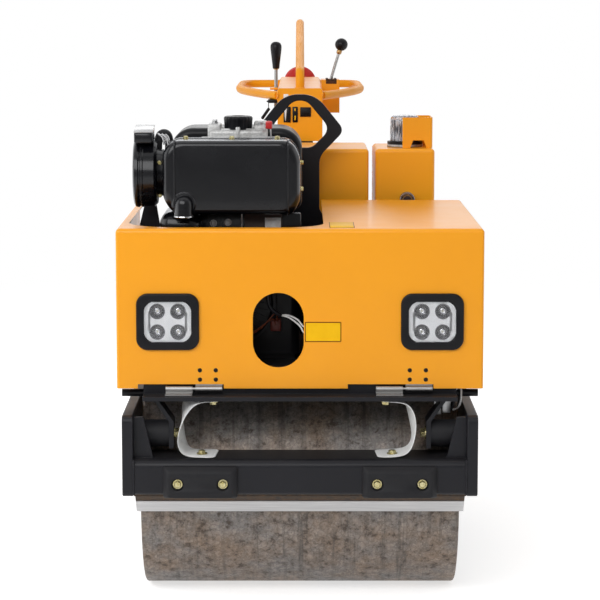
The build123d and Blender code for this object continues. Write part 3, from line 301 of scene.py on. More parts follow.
def mottled(name, grain, low, high, span=None, gloss=None, relief=None, fine=None, **plain):
    """Material whose noise blends two colours and may set its roughness and its relief too.

    grain and fine are noise settings, the second one for relief of another size. span is the part of
    the noise that the colours take up, and gloss the roughness at its ends.
    """
    made, tree, shader = finish_material(name, **plain)
    field = noise(tree, object_vector(tree), *grain)
    mask = ramp(tree, field, *span) if span else field
    wire(tree, (blend_colour(tree, mask, low, high), shader.inputs["Base Color"]))
    if gloss:
        wire(tree, (ramp(tree, field, 0.3, 0.7, *gloss), shader.inputs["Roughness"]))
    if relief:
        bump(tree, noise(tree, object_vector(tree), *fine) if fine else field, shader, *relief)
    return made


middle_span = (0.3, 0.7)
frame_black = painted("satin black paint", (0.0082, 0.0082, 0.0112), (0.0115, 0.0115, 0.015),
                      (0.05, 0.05, 0.054), 0.36, dust=0.03, Specular_IOR_Level=0.24)
coat(frame_black, "side_plate_left", "side_plate_right", "beam_front", "beam_rear", "upper_frame",
     "spray_pipes", "hood_rests", "lifting_plate")
scraper_steel = mottled("cut steel strip", (30, 5, 0.6, (0.4, 4.0, 14.0)), (0.5, 0.5, 0.51),
                        (0.66, 0.66, 0.66), middle_span, (0.42, 0.55), (0.1, 0.0003, 0.001), Metallic=0.6)
turning_marks = (120, 3, 0.6, (6.0, 1.0, 1.0))
bright_steel = mottled("turned steel", turning_marks, (0.27, 0.265, 0.26), (0.42, 0.415, 0.41), None,
                       (0.3, 0.42), (0.1, 0.0002), Metallic=1.0)
coat(bright_steel, "stub_axles", "hood_knuckles", "pivot_pin", "lever_rods")

# hinge halves on the frame are bright at the barrel, and their leaves are painted with the frame
leaf_steel, tree, shader = finish_material("hinge steel, leaf painted")
marked = noise(tree, object_vector(tree), *turning_marks)
bare = ramp(tree, add(tree, "ShaderNodeSeparateXYZ", object_vector(tree), give="Z"), 0.4125, 0.414)
tone = blend_colour(tree, bare, (0.009, 0.009, 0.012), (0.36, 0.355, 0.35))
wire(tree, (tone, shader.inputs["Base Color"]), (bare, shader.inputs["Metallic"]),
     (ramp(tree, marked, 0.3, 0.7, 0.3, 0.42), shader.inputs["Roughness"]))
bump(tree, marked, shader, 0.1, 0.0002)
coat(leaf_steel, "frame_knuckles")

rubber = mottled("moulded rubber", (38, 5, 0.6), (0.0105, 0.0105, 0.013), (0.0165, 0.0162, 0.018),
                 (0.35, 0.7), (0.5, 0.66), (0.08, 0.0003, 0.0015), (900, 2), Specular_IOR_Level=0.24)
coat(rubber, "bumper_pads", "rubber_mounts", "arm_rest")

# ---- lower frame fasteners -----------------------------------------------------------------------
# Yellow-passivated hex screws with washers hold the pads, straps and mounts. Each is turned to its
# own angle, as a spanner leaves it.


def plant(name, **ins):
    """Geometry Nodes tree whose inputs are its geometry, the given ones and a material."""
    ins = {label.replace("_", " "): value for label, value in ins.items()}
    return new_group(name, "Geometry", {"Geometry": "Geometry", **ins, "Material": "Material"},
                     {"Geometry": "Geometry"})


def ripen(group, given, out, geometry):
    """Ends a tree in real geometry with its material."""
    real = add(group, "GeometryNodeRealizeInstances", geometry)
    wire(group, (add(group, "GeometryNodeSetMaterial", real, Material=given["Material"]), out["Geometry"]))


def shaded(mesh, smooth=True, sharp=None):
    """Mesh with smooth or flat faces, and with hard edges above an angle where one is given."""
    mesh.polygons.foreach_set("use_smooth", [smooth] * len(mesh.polygons))
    if sharp:
        mesh.set_sharp_from_angle(angle=math.radians(sharp))
    return mesh


def outcome(piece):
    """An object's mesh with its modifiers applied. The object itself is removed."""
    graph = bpy.context.evaluated_depsgraph_get()
    mesh = bpy.data.meshes.new_from_object(piece.evaluated_get(graph), depsgraph=graph)
    bpy.data.objects.remove(piece)
    return mesh


def grown(name, tree, seed, body, smooth=False, **values):
    """Runs a tree on a seed object and keeps the result as one plain mesh that rides on a body."""
    growth = seed.modifiers.new("growth", "NODES")
    growth.node_group = tree
    for item in tree.interface.items_tree:
        label = item.name.replace(" ", "_")
        if item.in_out == "INPUT" and label in values:
            growth[item.identifier] = values[label]
    piece = placed(name, shaded(outcome(seed), smooth))
    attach(piece, body)
    return piece


def listed(verts, edges=(), faces=()):
    """Mesh from plain lists."""
    mesh = bpy.data.meshes.new("listed")
    mesh.from_pydata([tuple(v) for v in verts], edges, faces)
    return mesh


def stub(group, sides, radius, tip, length, lift=None):
    """Cone or prism that starts at a height. Sizes are sockets."""
    cone = add(group, "GeometryNodeMeshCone", Vertices=sides, Radius_Bottom=radius, Radius_Top=tip,
               Depth=length)
    return add(group, "GeometryNodeTransform", cone, Translation=add(group, "ShaderNodeCombineXYZ", Z=lift))


def screw_tree(group, given, out, stubs, spin=None):
    """Ends a tree in a screw of several stubs on each point, set along the way it faces."""
    screw = add(group, "GeometryNodeJoinGeometry", give=None)
    for part in stubs:
        wire(group, (stub(group, *part), screw.inputs[0]))
    facing = add(group, "GeometryNodeInputNamedAttribute", "facing", data_type="FLOAT_VECTOR",
                 give="Attribute")
    way = add(group, "FunctionNodeAlignRotationToVector", Vector=facing, axis="Z")
    if spin:
        way = add(group, "FunctionNodeRotateRotation", way, spin, rotation_space="LOCAL")
    ripen(group, given, out, add(group, "GeometryNodeInstanceOnPoints", given["Geometry"],
                                 Instance=screw.outputs[0], Rotation=way))


screws, given, out = plant("hex screws", Washer_Radius=0.009, Washer_Thickness=0.0015, Head_Radius=0.0065,
                           Head_Height=0.005, Seed=3)
washer, washer_top = given["Washer Radius"], given["Washer Thickness"]
head, head_high = given["Head Radius"], given["Head Height"]
head_side, head_cut = [math_node(screws, "MULTIPLY", head_high, share) for share in (0.78, 0.22)]
head_tip = math_node(screws, "MULTIPLY", head, 0.84)
cut_level = math_node(screws, "ADD", head_side, washer_top)
random_turn = add(screws, "FunctionNodeRandomValue", data_type="FLOAT", Max=math.pi / 3, Seed=given["Seed"],
                  give="Value")
screw_tree(screws, given, out,
           ((20, washer, washer, washer_top), (6, head, head, head_side, washer_top),
            (6, head, head_tip, head_cut, cut_level)),
           add(screws, "FunctionNodeAxisAngleToRotation", Angle=random_turn))

zinc = mottled("yellow passivated zinc", (160, 3, 0.6), (0.36, 0.3, 0.1), (0.66, 0.6, 0.36), middle_span,
               (0.2, 0.34), (0.15, 0.0003, 0.0005), Metallic=0.9)


def screwed(name, spots, body, material=zinc, tree=screws, **sizes):
    """Screws as one piece. A spot is a place and the way the head faces."""
    mesh = listed([place for place, _ in spots])
    facing = mesh.attributes.new("facing", "FLOAT_VECTOR", "POINT")
    for mark, (_, way) in zip(facing.data, spots):
        mark.vector = way
    return grown(name, tree, placed("seed", mesh), body, Material=material, **sizes)


pad_low, pad_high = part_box("bumper_pads")
pad_well, pad_screw_rise = 0.0085, 0.0264
pad_spots = [((x, y, pad_low.z + pad_screw_rise), (0, way, 0)) for x in (-0.2245, -0.1415, 0.1415, 0.2245)
             for y, way in ((pad_low.y + pad_well, -1), (pad_high.y - pad_well, 1))]
screwed("pad_screws", pad_spots, "chassis", Washer_Radius=0.0088, Head_Radius=0.0066, Head_Height=0.0055,
        Seed=5)

mount_low, mount_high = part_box("rubber_mounts")
mount_inset, leg_inside = 0.0255, 0.234
nut_spots = [((side * leg_inside, y, (mount_low.z + mount_high.z) / 2), (-side, 0, 0)) for side in (-1, 1)
             for y in (mount_low.y + mount_inset, mount_high.y - mount_inset)]
screwed("mount_nuts", nut_spots, "chassis", Washer_Radius=0.013, Head_Radius=0.0095, Head_Height=0.009,
        Seed=2)

# ---- limit straps --------------------------------------------------------------------------------
# Woven polyester straps at each end keep the sprung upper frame from lifting off its mounts. They
# lie flat under a screw at both ends and are twisted between, as they were fitted.
length_middle = -0.452
strap_wide, strap_thick = 0.07, 0.0026


def turned_round(run):
    """The same points at the other end of the machine."""
    return [(-x, 2 * length_middle - y, z) for x, y, z in run]


def woven_strip(first_edge, second_edge, parts=4):
    """Ribbon between two edge lines given at matching stations, with a UV map in metres."""
    columns = parts + 1
    verts = [Vector(a).lerp(Vector(b), k / parts)
             for a, b in zip(first_edge, second_edge) for k in range(columns)]
    faces = [(i * columns + k, i * columns + k + 1, (i + 1) * columns + k + 1, (i + 1) * columns + k)
             for i in range(len(first_edge) - 1) for k in range(parts)]
    strip = placed("strip", shaded(listed(verts, faces=faces)))
    run = [0.0]
    for a, b in zip(verts[::columns], verts[columns::columns]):
        run.append(run[-1] + (b - a).length)
    lay = strip.data.uv_layers.new(name="weave")
    for loop in strip.data.loops:
        row, column = divmod(loop.vertex_index, columns)
        lay.data[loop.index].uv = (run[row], column / parts * strap_wide)
    wall = strip.modifiers.new("wall", "SOLIDIFY")
    wall.thickness = strap_thick
    wall.offset = 0
    smooth = strip.modifiers.new("smooth", "SUBSURF")
    smooth.levels = smooth.render_levels = 2
    return outcome(strip)


def settled(work):
    """The mesh of a finished bmesh."""
    mesh = bpy.data.meshes.new("settled")
    work.to_mesh(mesh)
    work.free()
    return mesh


def ridden(name, meshes, material, body, *stands_for):
    """One piece of several meshes, which may stand for carried-over nodes."""
    whole = bmesh.new()
    for part in meshes:
        whole.from_mesh(part)
    mesh = settled(whole)
    mesh.materials.append(material)
    piece = placed(name, mesh)
    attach(piece, body)
    if stands_for:
        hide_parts(*stands_for)


# The left strap has half a turn in it, so that its rear edge lies outside at the top and inside below.
turned_rear = [(-0.16, -0.912, 0.4025), (-0.2, -0.909, 0.4025), (-0.2215, -0.907, 0.396),
               (-0.221, -0.907, 0.372), (-0.218, -0.907, 0.342), (-0.213, -0.907, 0.31),
               (-0.203, -0.905, 0.2996), (-0.18, -0.904, 0.2996), (-0.15, -0.904, 0.2996)]
turned_front = [(-0.146, -0.978, 0.4025), (-0.175, -0.979, 0.4025), (-0.194, -0.979, 0.398),
                (-0.213, -0.979, 0.375), (-0.226, -0.979, 0.342), (-0.227, -0.979, 0.316),
                (-0.214, -0.981, 0.2996), (-0.184, -0.985, 0.2996), (-0.156, -0.989, 0.2996)]
slack_rear = [(0.148, -0.912, 0.4025), (0.178, -0.91, 0.4025), (0.199, -0.908, 0.391), (0.203, -0.908, 0.362),
              (0.211, -0.908, 0.333), (0.207, -0.908, 0.31), (0.19, -0.906, 0.2996), (0.137, -0.904, 0.2996)]
slack_front = [(0.148, -0.98, 0.4025), (0.184, -0.981, 0.4025), (0.207, -0.982, 0.395),
               (0.2155, -0.982, 0.364), (0.2125, -0.982, 0.336), (0.205, -0.983, 0.312),
               (0.19, -0.984, 0.2996), (0.141, -0.987, 0.2996)]
strap_meshes = []
for first, second in ((turned_rear, turned_front), (slack_front, slack_rear)):
    strap_meshes += [woven_strip(first, second), woven_strip(turned_round(first), turned_round(second))]

# threads over and under each other, with the ribs that run along a heavy strap
cloth, given, out = new_group("strap weave", "Shader", {"Vector": "Vector", "Pitch": 0.0016},
                              {"Thread": "Float", "Rib": "Float"})
laid = add(cloth, "ShaderNodeSeparateXYZ", given["Vector"], give=None).outputs
per_metre, rib_rate = math_node(cloth, "DIVIDE", math.tau, given["Pitch"]), 440.0
along_wave, across_wave, rib_wave = [math_node(cloth, "SINE", math_node(cloth, "MULTIPLY", laid[way], count))
                                     for way, count in (("X", per_metre), ("Y", per_metre), ("Y", rib_rate))]
wire(cloth, (ramp(cloth, math_node(cloth, "MULTIPLY", along_wave, across_wave), -0.8, 0.8), out["Thread"]),
     (math_node(cloth, "ABSOLUTE", rib_wave), out["Rib"]))

webbing, tree, shader = finish_material("woven webbing", Roughness=0.85, Sheen_Weight=0.25)
threads = add(tree, "ShaderNodeGroup", add(tree, "ShaderNodeUVMap", uv_map="weave"), node_tree=cloth,
              give=None).outputs
handled = ramp(tree, noise(tree, object_vector(tree), 55, 5, 0.6), 0.52, 0.82, 0.0, 0.4)
tone = blend_colour(tree, threads["Thread"], (0.88, 0.88, 0.87), (0.97, 0.97, 0.96))
wire(tree, (blend_colour(tree, handled, tone, (0.62, 0.58, 0.52)), shader.inputs["Base Color"]))
bump(tree, math_node(tree, "ADD", threads["Thread"], threads["Rib"]), shader, 0.5, 0.0008)
ridden("webbing_straps", strap_meshes, webbing, "chassis", "limit_straps")

strap_spots = []
for x, z, up in ((-0.182, 0.3015, 1), (0.171, 0.3015, 1), (-0.16, 0.4005, -1), (0.1584, 0.4005, -1)):
    at = [(x, -0.957, z)]
    strap_spots += [(end, (0, 0, up)) for end in at + turned_round(at)]
screwed("strap_screws", strap_spots, "chassis", Washer_Radius=0.01, Head_Radius=0.007, Head_Height=0.0055,
        Seed=11)

# ---- lower frame welds ---------------------------------------------------------------------------
# Hand-laid fillet welds join the channels and gussets to the side plates, and the end discs to the
# drums. They were sprayed with the frame, the drums' own stay bare.


def smooth_path(group, geometry, step, spline="CATMULL_ROM"):
    """Curve through the given edges, with points at even steps."""
    curve = add(group, "GeometryNodeCurveSplineType", add(group, "GeometryNodeMeshToCurve", geometry),
                spline_type=spline)
    return add(group, "GeometryNodeResampleCurve", curve, mode="LENGTH", Length=step)


beads, given, out = plant("weld bead", Radius=0.003, Pitch=0.0035, Seed=1)
path = smooth_path(beads, given["Geometry"], given["Pitch"], "POLY")
laid = add(beads, "GeometryNodeCurveToPoints", path, mode="LENGTH", Length=given["Pitch"], give=None).outputs
drop = add(beads, "GeometryNodeMeshUVSphere", 8, 5, given["Radius"])
wobble = add(beads, "FunctionNodeRandomValue", data_type="FLOAT", Min=0.88, Max=1.12, Seed=given["Seed"],
             give="Value")
ripen(beads, given, out, add(beads, "GeometryNodeInstanceOnPoints", laid["Points"], Instance=drop,
                             Rotation=laid["Rotation"], Scale=wobble))


def along(name, tree, runs, body, material, **sizes):
    """A tree that follows runs of points, as one smooth piece."""
    verts, edges = [], []
    for run in runs:
        edges += [(len(verts) + n, len(verts) + n + 1) for n in range(len(run) - 1)]
        verts += run
    return grown(name, tree, placed("seed", listed(verts, edges)), body, smooth=True, Material=material,
                 **sizes)


def across(axis):
    """A direction at unit length, and two across it at right angles."""
    axis = Vector(axis).normalized()
    first = axis.orthogonal().normalized()
    return axis, first, axis.cross(first)


def ring(centre, axis, radius, count=72):
    """Points round a circle, the last on the first."""
    _, first, second = across(axis)
    return [Vector(centre) + radius * (math.cos(angle) * first + math.sin(angle) * second)
            for angle in turns(count) + [math.tau]]


channel_top, side_face, gusset_foot, gusset_top = 0.298, 0.307, 0.235, 0.296
frame_runs = []
for side in (-1, 1):
    inside = side * (side_face - 0.001)
    for run in ([(inside, -0.968, channel_top), (inside, -0.903, channel_top)],
                [(inside, -0.9685, channel_top), (inside, -0.9685, 0.372)],
                [(inside, -0.9685, channel_top), (side * 0.272, -0.9685, channel_top)],
                [(inside, -1.0015, gusset_foot), (inside, -1.0015, gusset_top)],
                [(inside, -0.9025, gusset_foot), (inside, -0.9025, gusset_top)]):
        frame_runs += [run, turned_round(run)]
along("frame_welds", beads, frame_runs, "chassis", frame_black, Radius=0.0028, Pitch=0.003, Seed=4)

for drum_body in ("drum_front", "drum_rear"):
    drum_low, drum_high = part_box(drum_body)
    _, drum_y, drum_z = (drum_low + drum_high) / 2
    disc_runs = [ring((side * (drum_high.x - 0.0675), drum_y, drum_z), (1, 0, 0), 0.1978) for side in (-1, 1)]
    along(drum_body + "_welds", beads, disc_runs, drum_body, drum_steel, Radius=0.0032, Pitch=0.0048, Seed=9)

# ---- hood ----------------------------------------------------------------------------------------
# Folded 3 mm sheet in orange powder coat, tilted forward on two lift-off hinges. Black button-head
# screws hold each hinge leaf, and blank plates mark the front and the top.
orange = painted("orange powder coat", (0.97, 0.385, 0.01), (0.94, 0.368, 0.008), (0.94, 0.48, 0.12), 0.34,
                 Specular_IOR_Level=0.3, Coat_Weight=0.15, Coat_Roughness=0.09)
coat(orange, "hood_front_panel", "hood_top_panel", "hood_side_left", "hood_side_right", "water_tank",
     "oil_tank", "beacon_guard", "mast", "arm_head", "handle_loop", "bow_tube")

buttons, given, out = plant("button screws", Head_Radius=0.004, Head_Height=0.0022)
low_step, high_step = [math_node(buttons, "MULTIPLY", given["Head Height"], share) for share in (0.45, 0.35)]
wide_rim, rim = [math_node(buttons, "MULTIPLY", given["Head Radius"], share) for share in (0.9, 0.6)]
socket_foot, socket_tip = [math_node(buttons, "MULTIPLY", rim, share) for share in (0.8, 0.7)]
socket_deep = math_node(buttons, "MULTIPLY", high_step, 0.3)
screw_tree(buttons, given, out,
           ((16, given["Head Radius"], wide_rim, low_step), (16, wide_rim, rim, high_step, low_step),
            (6, socket_foot, socket_tip, socket_deep, math_node(buttons, "ADD", low_step, high_step))))

black_plastic = mottled("moulded black plastic", (20, 4, 0.6), (0.0045, 0.0045, 0.0062),
                        (0.0085, 0.0085, 0.0105), (0.35, 0.7), (0.28, 0.4), (0.1, 0.0003, 0.001),
                        (700, 3, 0.6), Specular_IOR_Level=0.2)
coat(black_plastic, "work_lamps", "battery", "beacon_base", "lever_knobs")

hood_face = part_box("hood_front_panel")[0].y
hinge_spots = [((x, hood_face, z), (0, -1, 0)) for x in (-0.1851, -0.1558, 0.203, 0.2327)
               for z in (0.4398, 0.4572)]
screwed("hinge_screws", hinge_spots, "hood", black_plastic, buttons, Head_Radius=0.0041, Head_Height=0.0018)


def rounded_rectangle(middle, width, height, corner, count=6):
    """Outline in the XZ plane, counter-clockwise as seen from the front."""
    outline = []
    for number, (x, z) in enumerate(((1, 1), (-1, 1), (-1, -1), (1, -1))):
        for step in range(count + 1):
            angle = math.radians(90 * number + 90 * step / count)
            outline.append((middle[0] + x * (width / 2 - corner) + corner * math.cos(angle),
                            middle[1] + z * (height / 2 - corner) + corner * math.sin(angle)))
    return outline


def lofted(*loops, closed=False):
    """Mesh through loops of equal count. Each is an outline in XZ and its Y. Ends are filled."""
    verts = [(x, y, z) for outline, y in loops for x, z in outline]
    last, count = len(loops) - 1, len(loops[0][0])
    faces = []
    for low in range(last + closed):
        high = (low + 1) % len(loops)
        for n in range(count):
            m = (n + 1) % count
            faces.append((low * count + n, low * count + m, high * count + m, high * count + n))
    if not closed:
        faces += [tuple(range(count))[::-1], tuple(last * count + n for n in range(count))]
    work = bmesh.new()
    work.from_mesh(listed(verts, faces=faces))
    bmesh.ops.recalc_face_normals(work, faces=work.faces[:])
    return shaded(settled(work), sharp=40)


def rounded_box(low, high, edge, segments=3):
    """Box mesh with rolled edges."""
    box = bmesh.new()
    bmesh.ops.create_cube(box, size=1.0)
    for vert in box.verts:
        vert.co = [a + (c + 0.5) * (b - a) for a, b, c in zip(low, high, vert.co)]
    bmesh.ops.bevel(box, geom=box.edges[:], offset=edge, segments=segments, profile=0.5, affect="EDGES")
    return shaded(settled(box), sharp=60)


def thin_plate(x, z, y, thickness, corner):
    """Flat plate on a face that looks forward. x and z are its ends, y is the face."""
    outline = rounded_rectangle(((x[0] + x[1]) / 2, (z[0] + z[1]) / 2), x[1] - x[0], z[1] - z[0], corner, 3)
    return lofted((outline, y - thickness), (outline, y))


print_look = {"grain": (60, 4, 0.6), "span": middle_span, "Roughness": 0.45, "Specular_IOR_Level": 0.15}
plate_yellow = mottled("yellow plate film", low=(0.92, 0.5, 0.004), high=(0.96, 0.54, 0.006), **print_look)
plate_border = mottled("dark plate border", low=(0.17, 0.045, 0.003), high=(0.23, 0.065, 0.004), **print_look)
border_thick, film_thick, top_z = 0.0003, 0.0002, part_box("hood_top_panel")[1].z
front_rim = thin_plate((0.009, 0.0762), (0.5101, 0.5476), hood_face, border_thick, 0.002)
front_film = thin_plate((0.0108, 0.0744), (0.512, 0.5457), hood_face - border_thick, film_thick, 0.001)
top_rim = rounded_box((0.0545, -0.934, top_z - film_thick), (0.101, -0.828, top_z + border_thick), 0.0001, 1)
top_film = rounded_box((0.056, -0.9325, top_z), (0.0995, -0.8295, top_z + 0.0005), 0.0001, 1)
for name, rim, film in (("front_plate", front_rim, front_film), ("top_plate", top_rim, top_film)):
    ridden(name + "_border", [rim], plate_border, "hood")
    ridden(name, [film], plate_yellow, "hood")

# ---- work lamps ----------------------------------------------------------------------------------
# Each lamp is a moulded black frame round a white reflector with four chromed bowls, a light chip
# in each, and a clear pane with fine ribs at its ends.
reflector = mottled("lamp reflector", (60, 2), (0.88, 0.89, 0.9), (0.95, 0.95, 0.96), gloss=(0.18, 0.26),
                    Specular_IOR_Level=0.6)
coat(reflector, "lamp_reflectors")
chrome = mottled("chrome", (300, 3, 0.6), (0.6, 0.6, 0.61), (0.74, 0.74, 0.75), gloss=(0.1, 0.2),
                 Metallic=1.0)
smoked_chrome = mottled("smoked chrome", (420, 3, 0.6), (0.16, 0.16, 0.17), (0.34, 0.34, 0.36),
                        gloss=(0.12, 0.24), Metallic=0.9)
clear = mottled("clear lens", (30, 2), (0.95, 0.96, 0.97), (0.99, 0.99, 1.0), gloss=(0.02, 0.05),
                Transmission_Weight=1.0, IOR=1.45, Specular_IOR_Level=0.5)
chip_yellow = mottled("light chip", (900, 2), (0.5, 0.48, 0.38), (0.66, 0.63, 0.5), Roughness=0.35)


def turned(profile, centre, axis, sides=48, sharp=32, flutes=0, depth=0.0):
    """Mesh of revolution from pairs of distance along the axis and radius, closed where it is 0."""
    axis, first, second = across(axis)
    verts, faces, rings = [], [], []
    for along_axis, radius in profile:
        base = Vector(centre) + axis * along_axis
        count = sides if radius > 0 else 1
        rings.append([len(verts) + n for n in range(count)])
        for n in range(count):
            angle = 2 * math.pi * n / sides
            wave = radius - depth * (0.5 + 0.5 * math.cos(flutes * angle)) if radius > 0 else 0
            verts.append(base + wave * (math.cos(angle) * first + math.sin(angle) * second))
    for low, high in zip(rings, rings[1:]):
        for n in range(sides if len(low) + len(high) > 2 else 0):
            m = (n + 1) % sides
            if len(low) == 1:
                faces.append((low[0], high[m], high[n]))
            elif len(high) == 1:
                faces.append((low[n], low[m], high[0]))
            else:
                faces.append((low[n], low[m], high[m], high[n]))
    return shaded(listed(verts, faces=faces), sharp=sharp)


def capped(*profile):
    """Profile of a solid part, with its two ends closed to the axis."""
    return [(profile[0][0], 0), *profile, (profile[-1][0], 0)]


lamp_x, lamp_z, lamp_face, bowl_apart, chip_half = 0.244, 0.548, -0.959, 0.01925, 0.0016
lamp_outlines = ((0.0958, 0.0838, 0.019), (0.0905, 0.08, 0.0215), (0.088, 0.077, 0.022),
                 (0.0877, 0.0767, 0.0218))
bowl_line = [(-0.0098, 0), (-0.0097, 0.005), (0.0004, 0.0146), (0.0004, 0.0136), (-0.004, 0.0112),
             (-0.0075, 0.0072), (-0.009, 0.0046), (-0.009, 0)]
collar_line = [(-0.0091, 0), (-0.009, 0.0048), (-0.0074, 0.0048), (-0.007, 0.004), (-0.0074, 0.0033),
               (-0.008, 0.003), (-0.008, 0)]
frames, panes, bowls, collars, chips = [], [], [], [], []
for x in (-lamp_x, lamp_x):
    pocket, step, inner, pane = [rounded_rectangle((x, lamp_z), *sizes, 8) for sizes in lamp_outlines]
    frames.append(lofted((pocket, lamp_face - 0.0002), (step, lamp_face + 0.0004),
                         (inner, lamp_face + 0.0022), (inner, lamp_face + 0.0046),
                         (pocket, lamp_face + 0.0046), closed=True))
    panes.append(lofted((pane, lamp_face + 0.0026), (pane, lamp_face + 0.0036)))
    for column in (-1, 1):
        for row in (-1, 1):
            at = (x + column * bowl_apart, -0.954, lamp_z + row * bowl_apart)
            bowls.append(turned(bowl_line, at, (0, -1, 0), 36))
            collars.append(turned(collar_line, at, (0, -1, 0), 24))
            chips.append(rounded_box((at[0] - chip_half, at[1] + 0.0064, at[2] - chip_half),
                                     (at[0] + chip_half, at[1] + 0.0082, at[2] + chip_half), 0.0004, 1))
for name, meshes, look in (("frames", frames, black_plastic), ("panes", panes, clear),
                           ("bowls", bowls, smoked_chrome), ("collars", collars, chrome),
                           ("chips", chips, chip_yellow)):
    ridden("lamp_" + name, meshes, look, "hood")

rib_tree, given, out = plant("pane ribs", Size=(0.0008, 0.0006, 0.05))
bar = add(rib_tree, "GeometryNodeMeshCube", given["Size"])
ripen(rib_tree, given, out, add(rib_tree, "GeometryNodeInstanceOnPoints", given["Geometry"], Instance=bar))
rib_reach, rib_step = 0.0352, 0.0014
rib_spots = [((x + side * (rib_reach - rib_step * n), lamp_face + 0.004, lamp_z), (0, -1, 0))
             for x in (-lamp_x, lamp_x) for side in (-1, 1) for n in range(3)]
screwed("lamp_pane_ribs", rib_spots, "hood", reflector, rib_tree, Size=(0.0007, 0.0008, 0.036))

# ---- hub covers ----------------------------------------------------------------------------------
# Low button screws hold a cover over each axle end, round a pressed grease cap. They barely stand
# proud, so that the machine can roll close along a wall.
hub_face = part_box("side_plate_right")[1].x - 0.0004
axle_height, axle_stations, bolt_circle = 0.2125, (-0.697, -0.207), 0.0275
cap = capped((-0.0005, 0.015), (0.0008, 0.015), (0.0022, 0.014), (0.0026, 0.012), (0.0026, 0.005),
             (0.0014, 0.004))
cover_spots, grease_caps = [], []
for side in (-1, 1):
    for y in axle_stations:
        for angle in [math.radians(60 * n + 30) for n in range(6)]:
            bolt = (side * hub_face, y + bolt_circle * math.cos(angle),
                    axle_height + bolt_circle * math.sin(angle))
            cover_spots.append((bolt, (side, 0, 0)))
        grease_caps.append(turned(cap, (side * hub_face, y, axle_height), (side, 0, 0)))
screwed("hub_cover_screws", cover_spots, "chassis", tree=buttons, Head_Radius=0.0052, Head_Height=0.0024)
ridden("grease_caps", grease_caps, frame_black, "chassis")

# ---- hood side louvres ---------------------------------------------------------------------------
# Slots cut in the hood's sides let the cooling air out. Each has a blade behind it that keeps the
# rain off the engine.
slots, given, out = plant("louvred side", Rows=7, Columns=2, Spacing=(0.0, 0.17, 0.024),
                          Slot=(0.02, 0.13, 0.009), Start=(0.0, 0.0, 0.0))
merged = add(slots, "GeometryNodeMergeByDistance", given["Geometry"], Distance=0.00001)
spacing = add(slots, "ShaderNodeSeparateXYZ", given["Spacing"], give=None).outputs
column_line = add(slots, "GeometryNodeMeshLine", Count=given["Columns"], Start_Location=given["Start"],
                  Offset=add(slots, "ShaderNodeCombineXYZ", Y=spacing["Y"]))
row_line = add(slots, "GeometryNodeMeshLine", Count=given["Rows"],
               Offset=add(slots, "ShaderNodeCombineXYZ", Z=spacing["Z"]))
rows = add(slots, "GeometryNodeInstanceOnPoints", row_line,
           Instance=add(slots, "GeometryNodeMeshCube", given["Slot"]))
columns = add(slots, "GeometryNodeInstanceOnPoints", column_line, Instance=rows)
cut = add(slots, "GeometryNodeMeshBoolean", merged, operation="DIFFERENCE", give=None)
wire(slots, (add(slots, "GeometryNodeRealizeInstances", columns), cut.inputs["Mesh 2"]))
ripen(slots, given, out, cut.outputs["Mesh"])

# the blades take the hood's orange darkened: painted shade for the insides of the slots
hood_shadow = mottled("blade orange, painted shade", (50, 4, 0.6), (0.8, 0.31, 0.012), (0.66, 0.27, 0.03), middle_span,
                      Roughness=0.5)
louvre_foot, louvre_rise, louvre_rows, louvre_columns, louvre_step = 0.52, 0.022, 6, (-0.7, -0.5), 0.2
slot_long, slot_high, blade_wide, blade_lap, blade_x = 0.15, 0.008, 0.018, 0.004, 0.331
for name, side in (("hood_side_left", -1), ("hood_side_right", 1)):
    low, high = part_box(name)
    panel = grown(name + "_louvred", slots, placed("seed", nodes[name].data.copy()), "hood",
                  Material=orange, Rows=louvre_rows, Columns=len(louvre_columns),
                  Spacing=(0, louvre_step, louvre_rise), Slot=(0.03, slot_long, slot_high),
                  Start=((low.x + high.x) / 2, louvre_columns[0], louvre_foot))
    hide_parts(name)
    blades = []
    for y in louvre_columns:
        for n in range(louvre_rows):
            blade = rounded_box((-0.0006, y - slot_long / 2 - blade_lap, -blade_wide / 2),
                                (0.0006, y + slot_long / 2 + blade_lap, blade_wide / 2), 0.0003, 1)
            place = Matrix.Translation((side * blade_x, 0, louvre_foot + n * louvre_rise + 0.0015))
            blade.transform(place @ Matrix.Rotation(side * math.radians(32), 4, "Y"))
            blades.append(blade)
    ridden(name + "_blades", blades, hood_shadow, "hood")

# ---- engine --------------------------------------------------------------------------------------
# Air-cooled single-cylinder diesel on the deck: black-painted crankcase with the fan on its front,
# bare cast cylinder, head and rocker cover, and a blower housing of pressed sheet.
cast_alloy, tree, shader = finish_material("cast alloy", Metallic=0.55)
sand = noise(tree, object_vector(tree), 260, 5, 0.7)
grime = ramp(tree, noise(tree, object_vector(tree), 24, 5, 0.6), 0.5, 0.75, 0.0, 0.8)
tone = blend_colour(tree, ramp(tree, sand, 0.3, 0.7), (0.42, 0.42, 0.42), (0.66, 0.66, 0.65))
wire(tree, (blend_colour(tree, grime, tone, (0.18, 0.17, 0.16)), shader.inputs["Base Color"]),
     (ramp(tree, sand, 0.3, 0.7, 0.38, 0.55), shader.inputs["Roughness"]))
bump(tree, sand, shader, 0.4, 0.001, 0.0015)
coat(cast_alloy, "cylinder_and_head", "rocker_cover")

stove_black = painted("stoved black paint", (0.0026, 0.0026, 0.0038), (0.004, 0.004, 0.0054),
                      (0.03, 0.03, 0.032), 0.26, Specular_IOR_Level=0.22, Coat_Weight=0.35,
                      Coat_Roughness=0.12, Coat_Tint=(0.88, 0.92, 1.0, 1.0))
coat(stove_black, "hydraulic_pump", "tank_port")
coat(black_plastic, "crankcase", "fuel_tank")

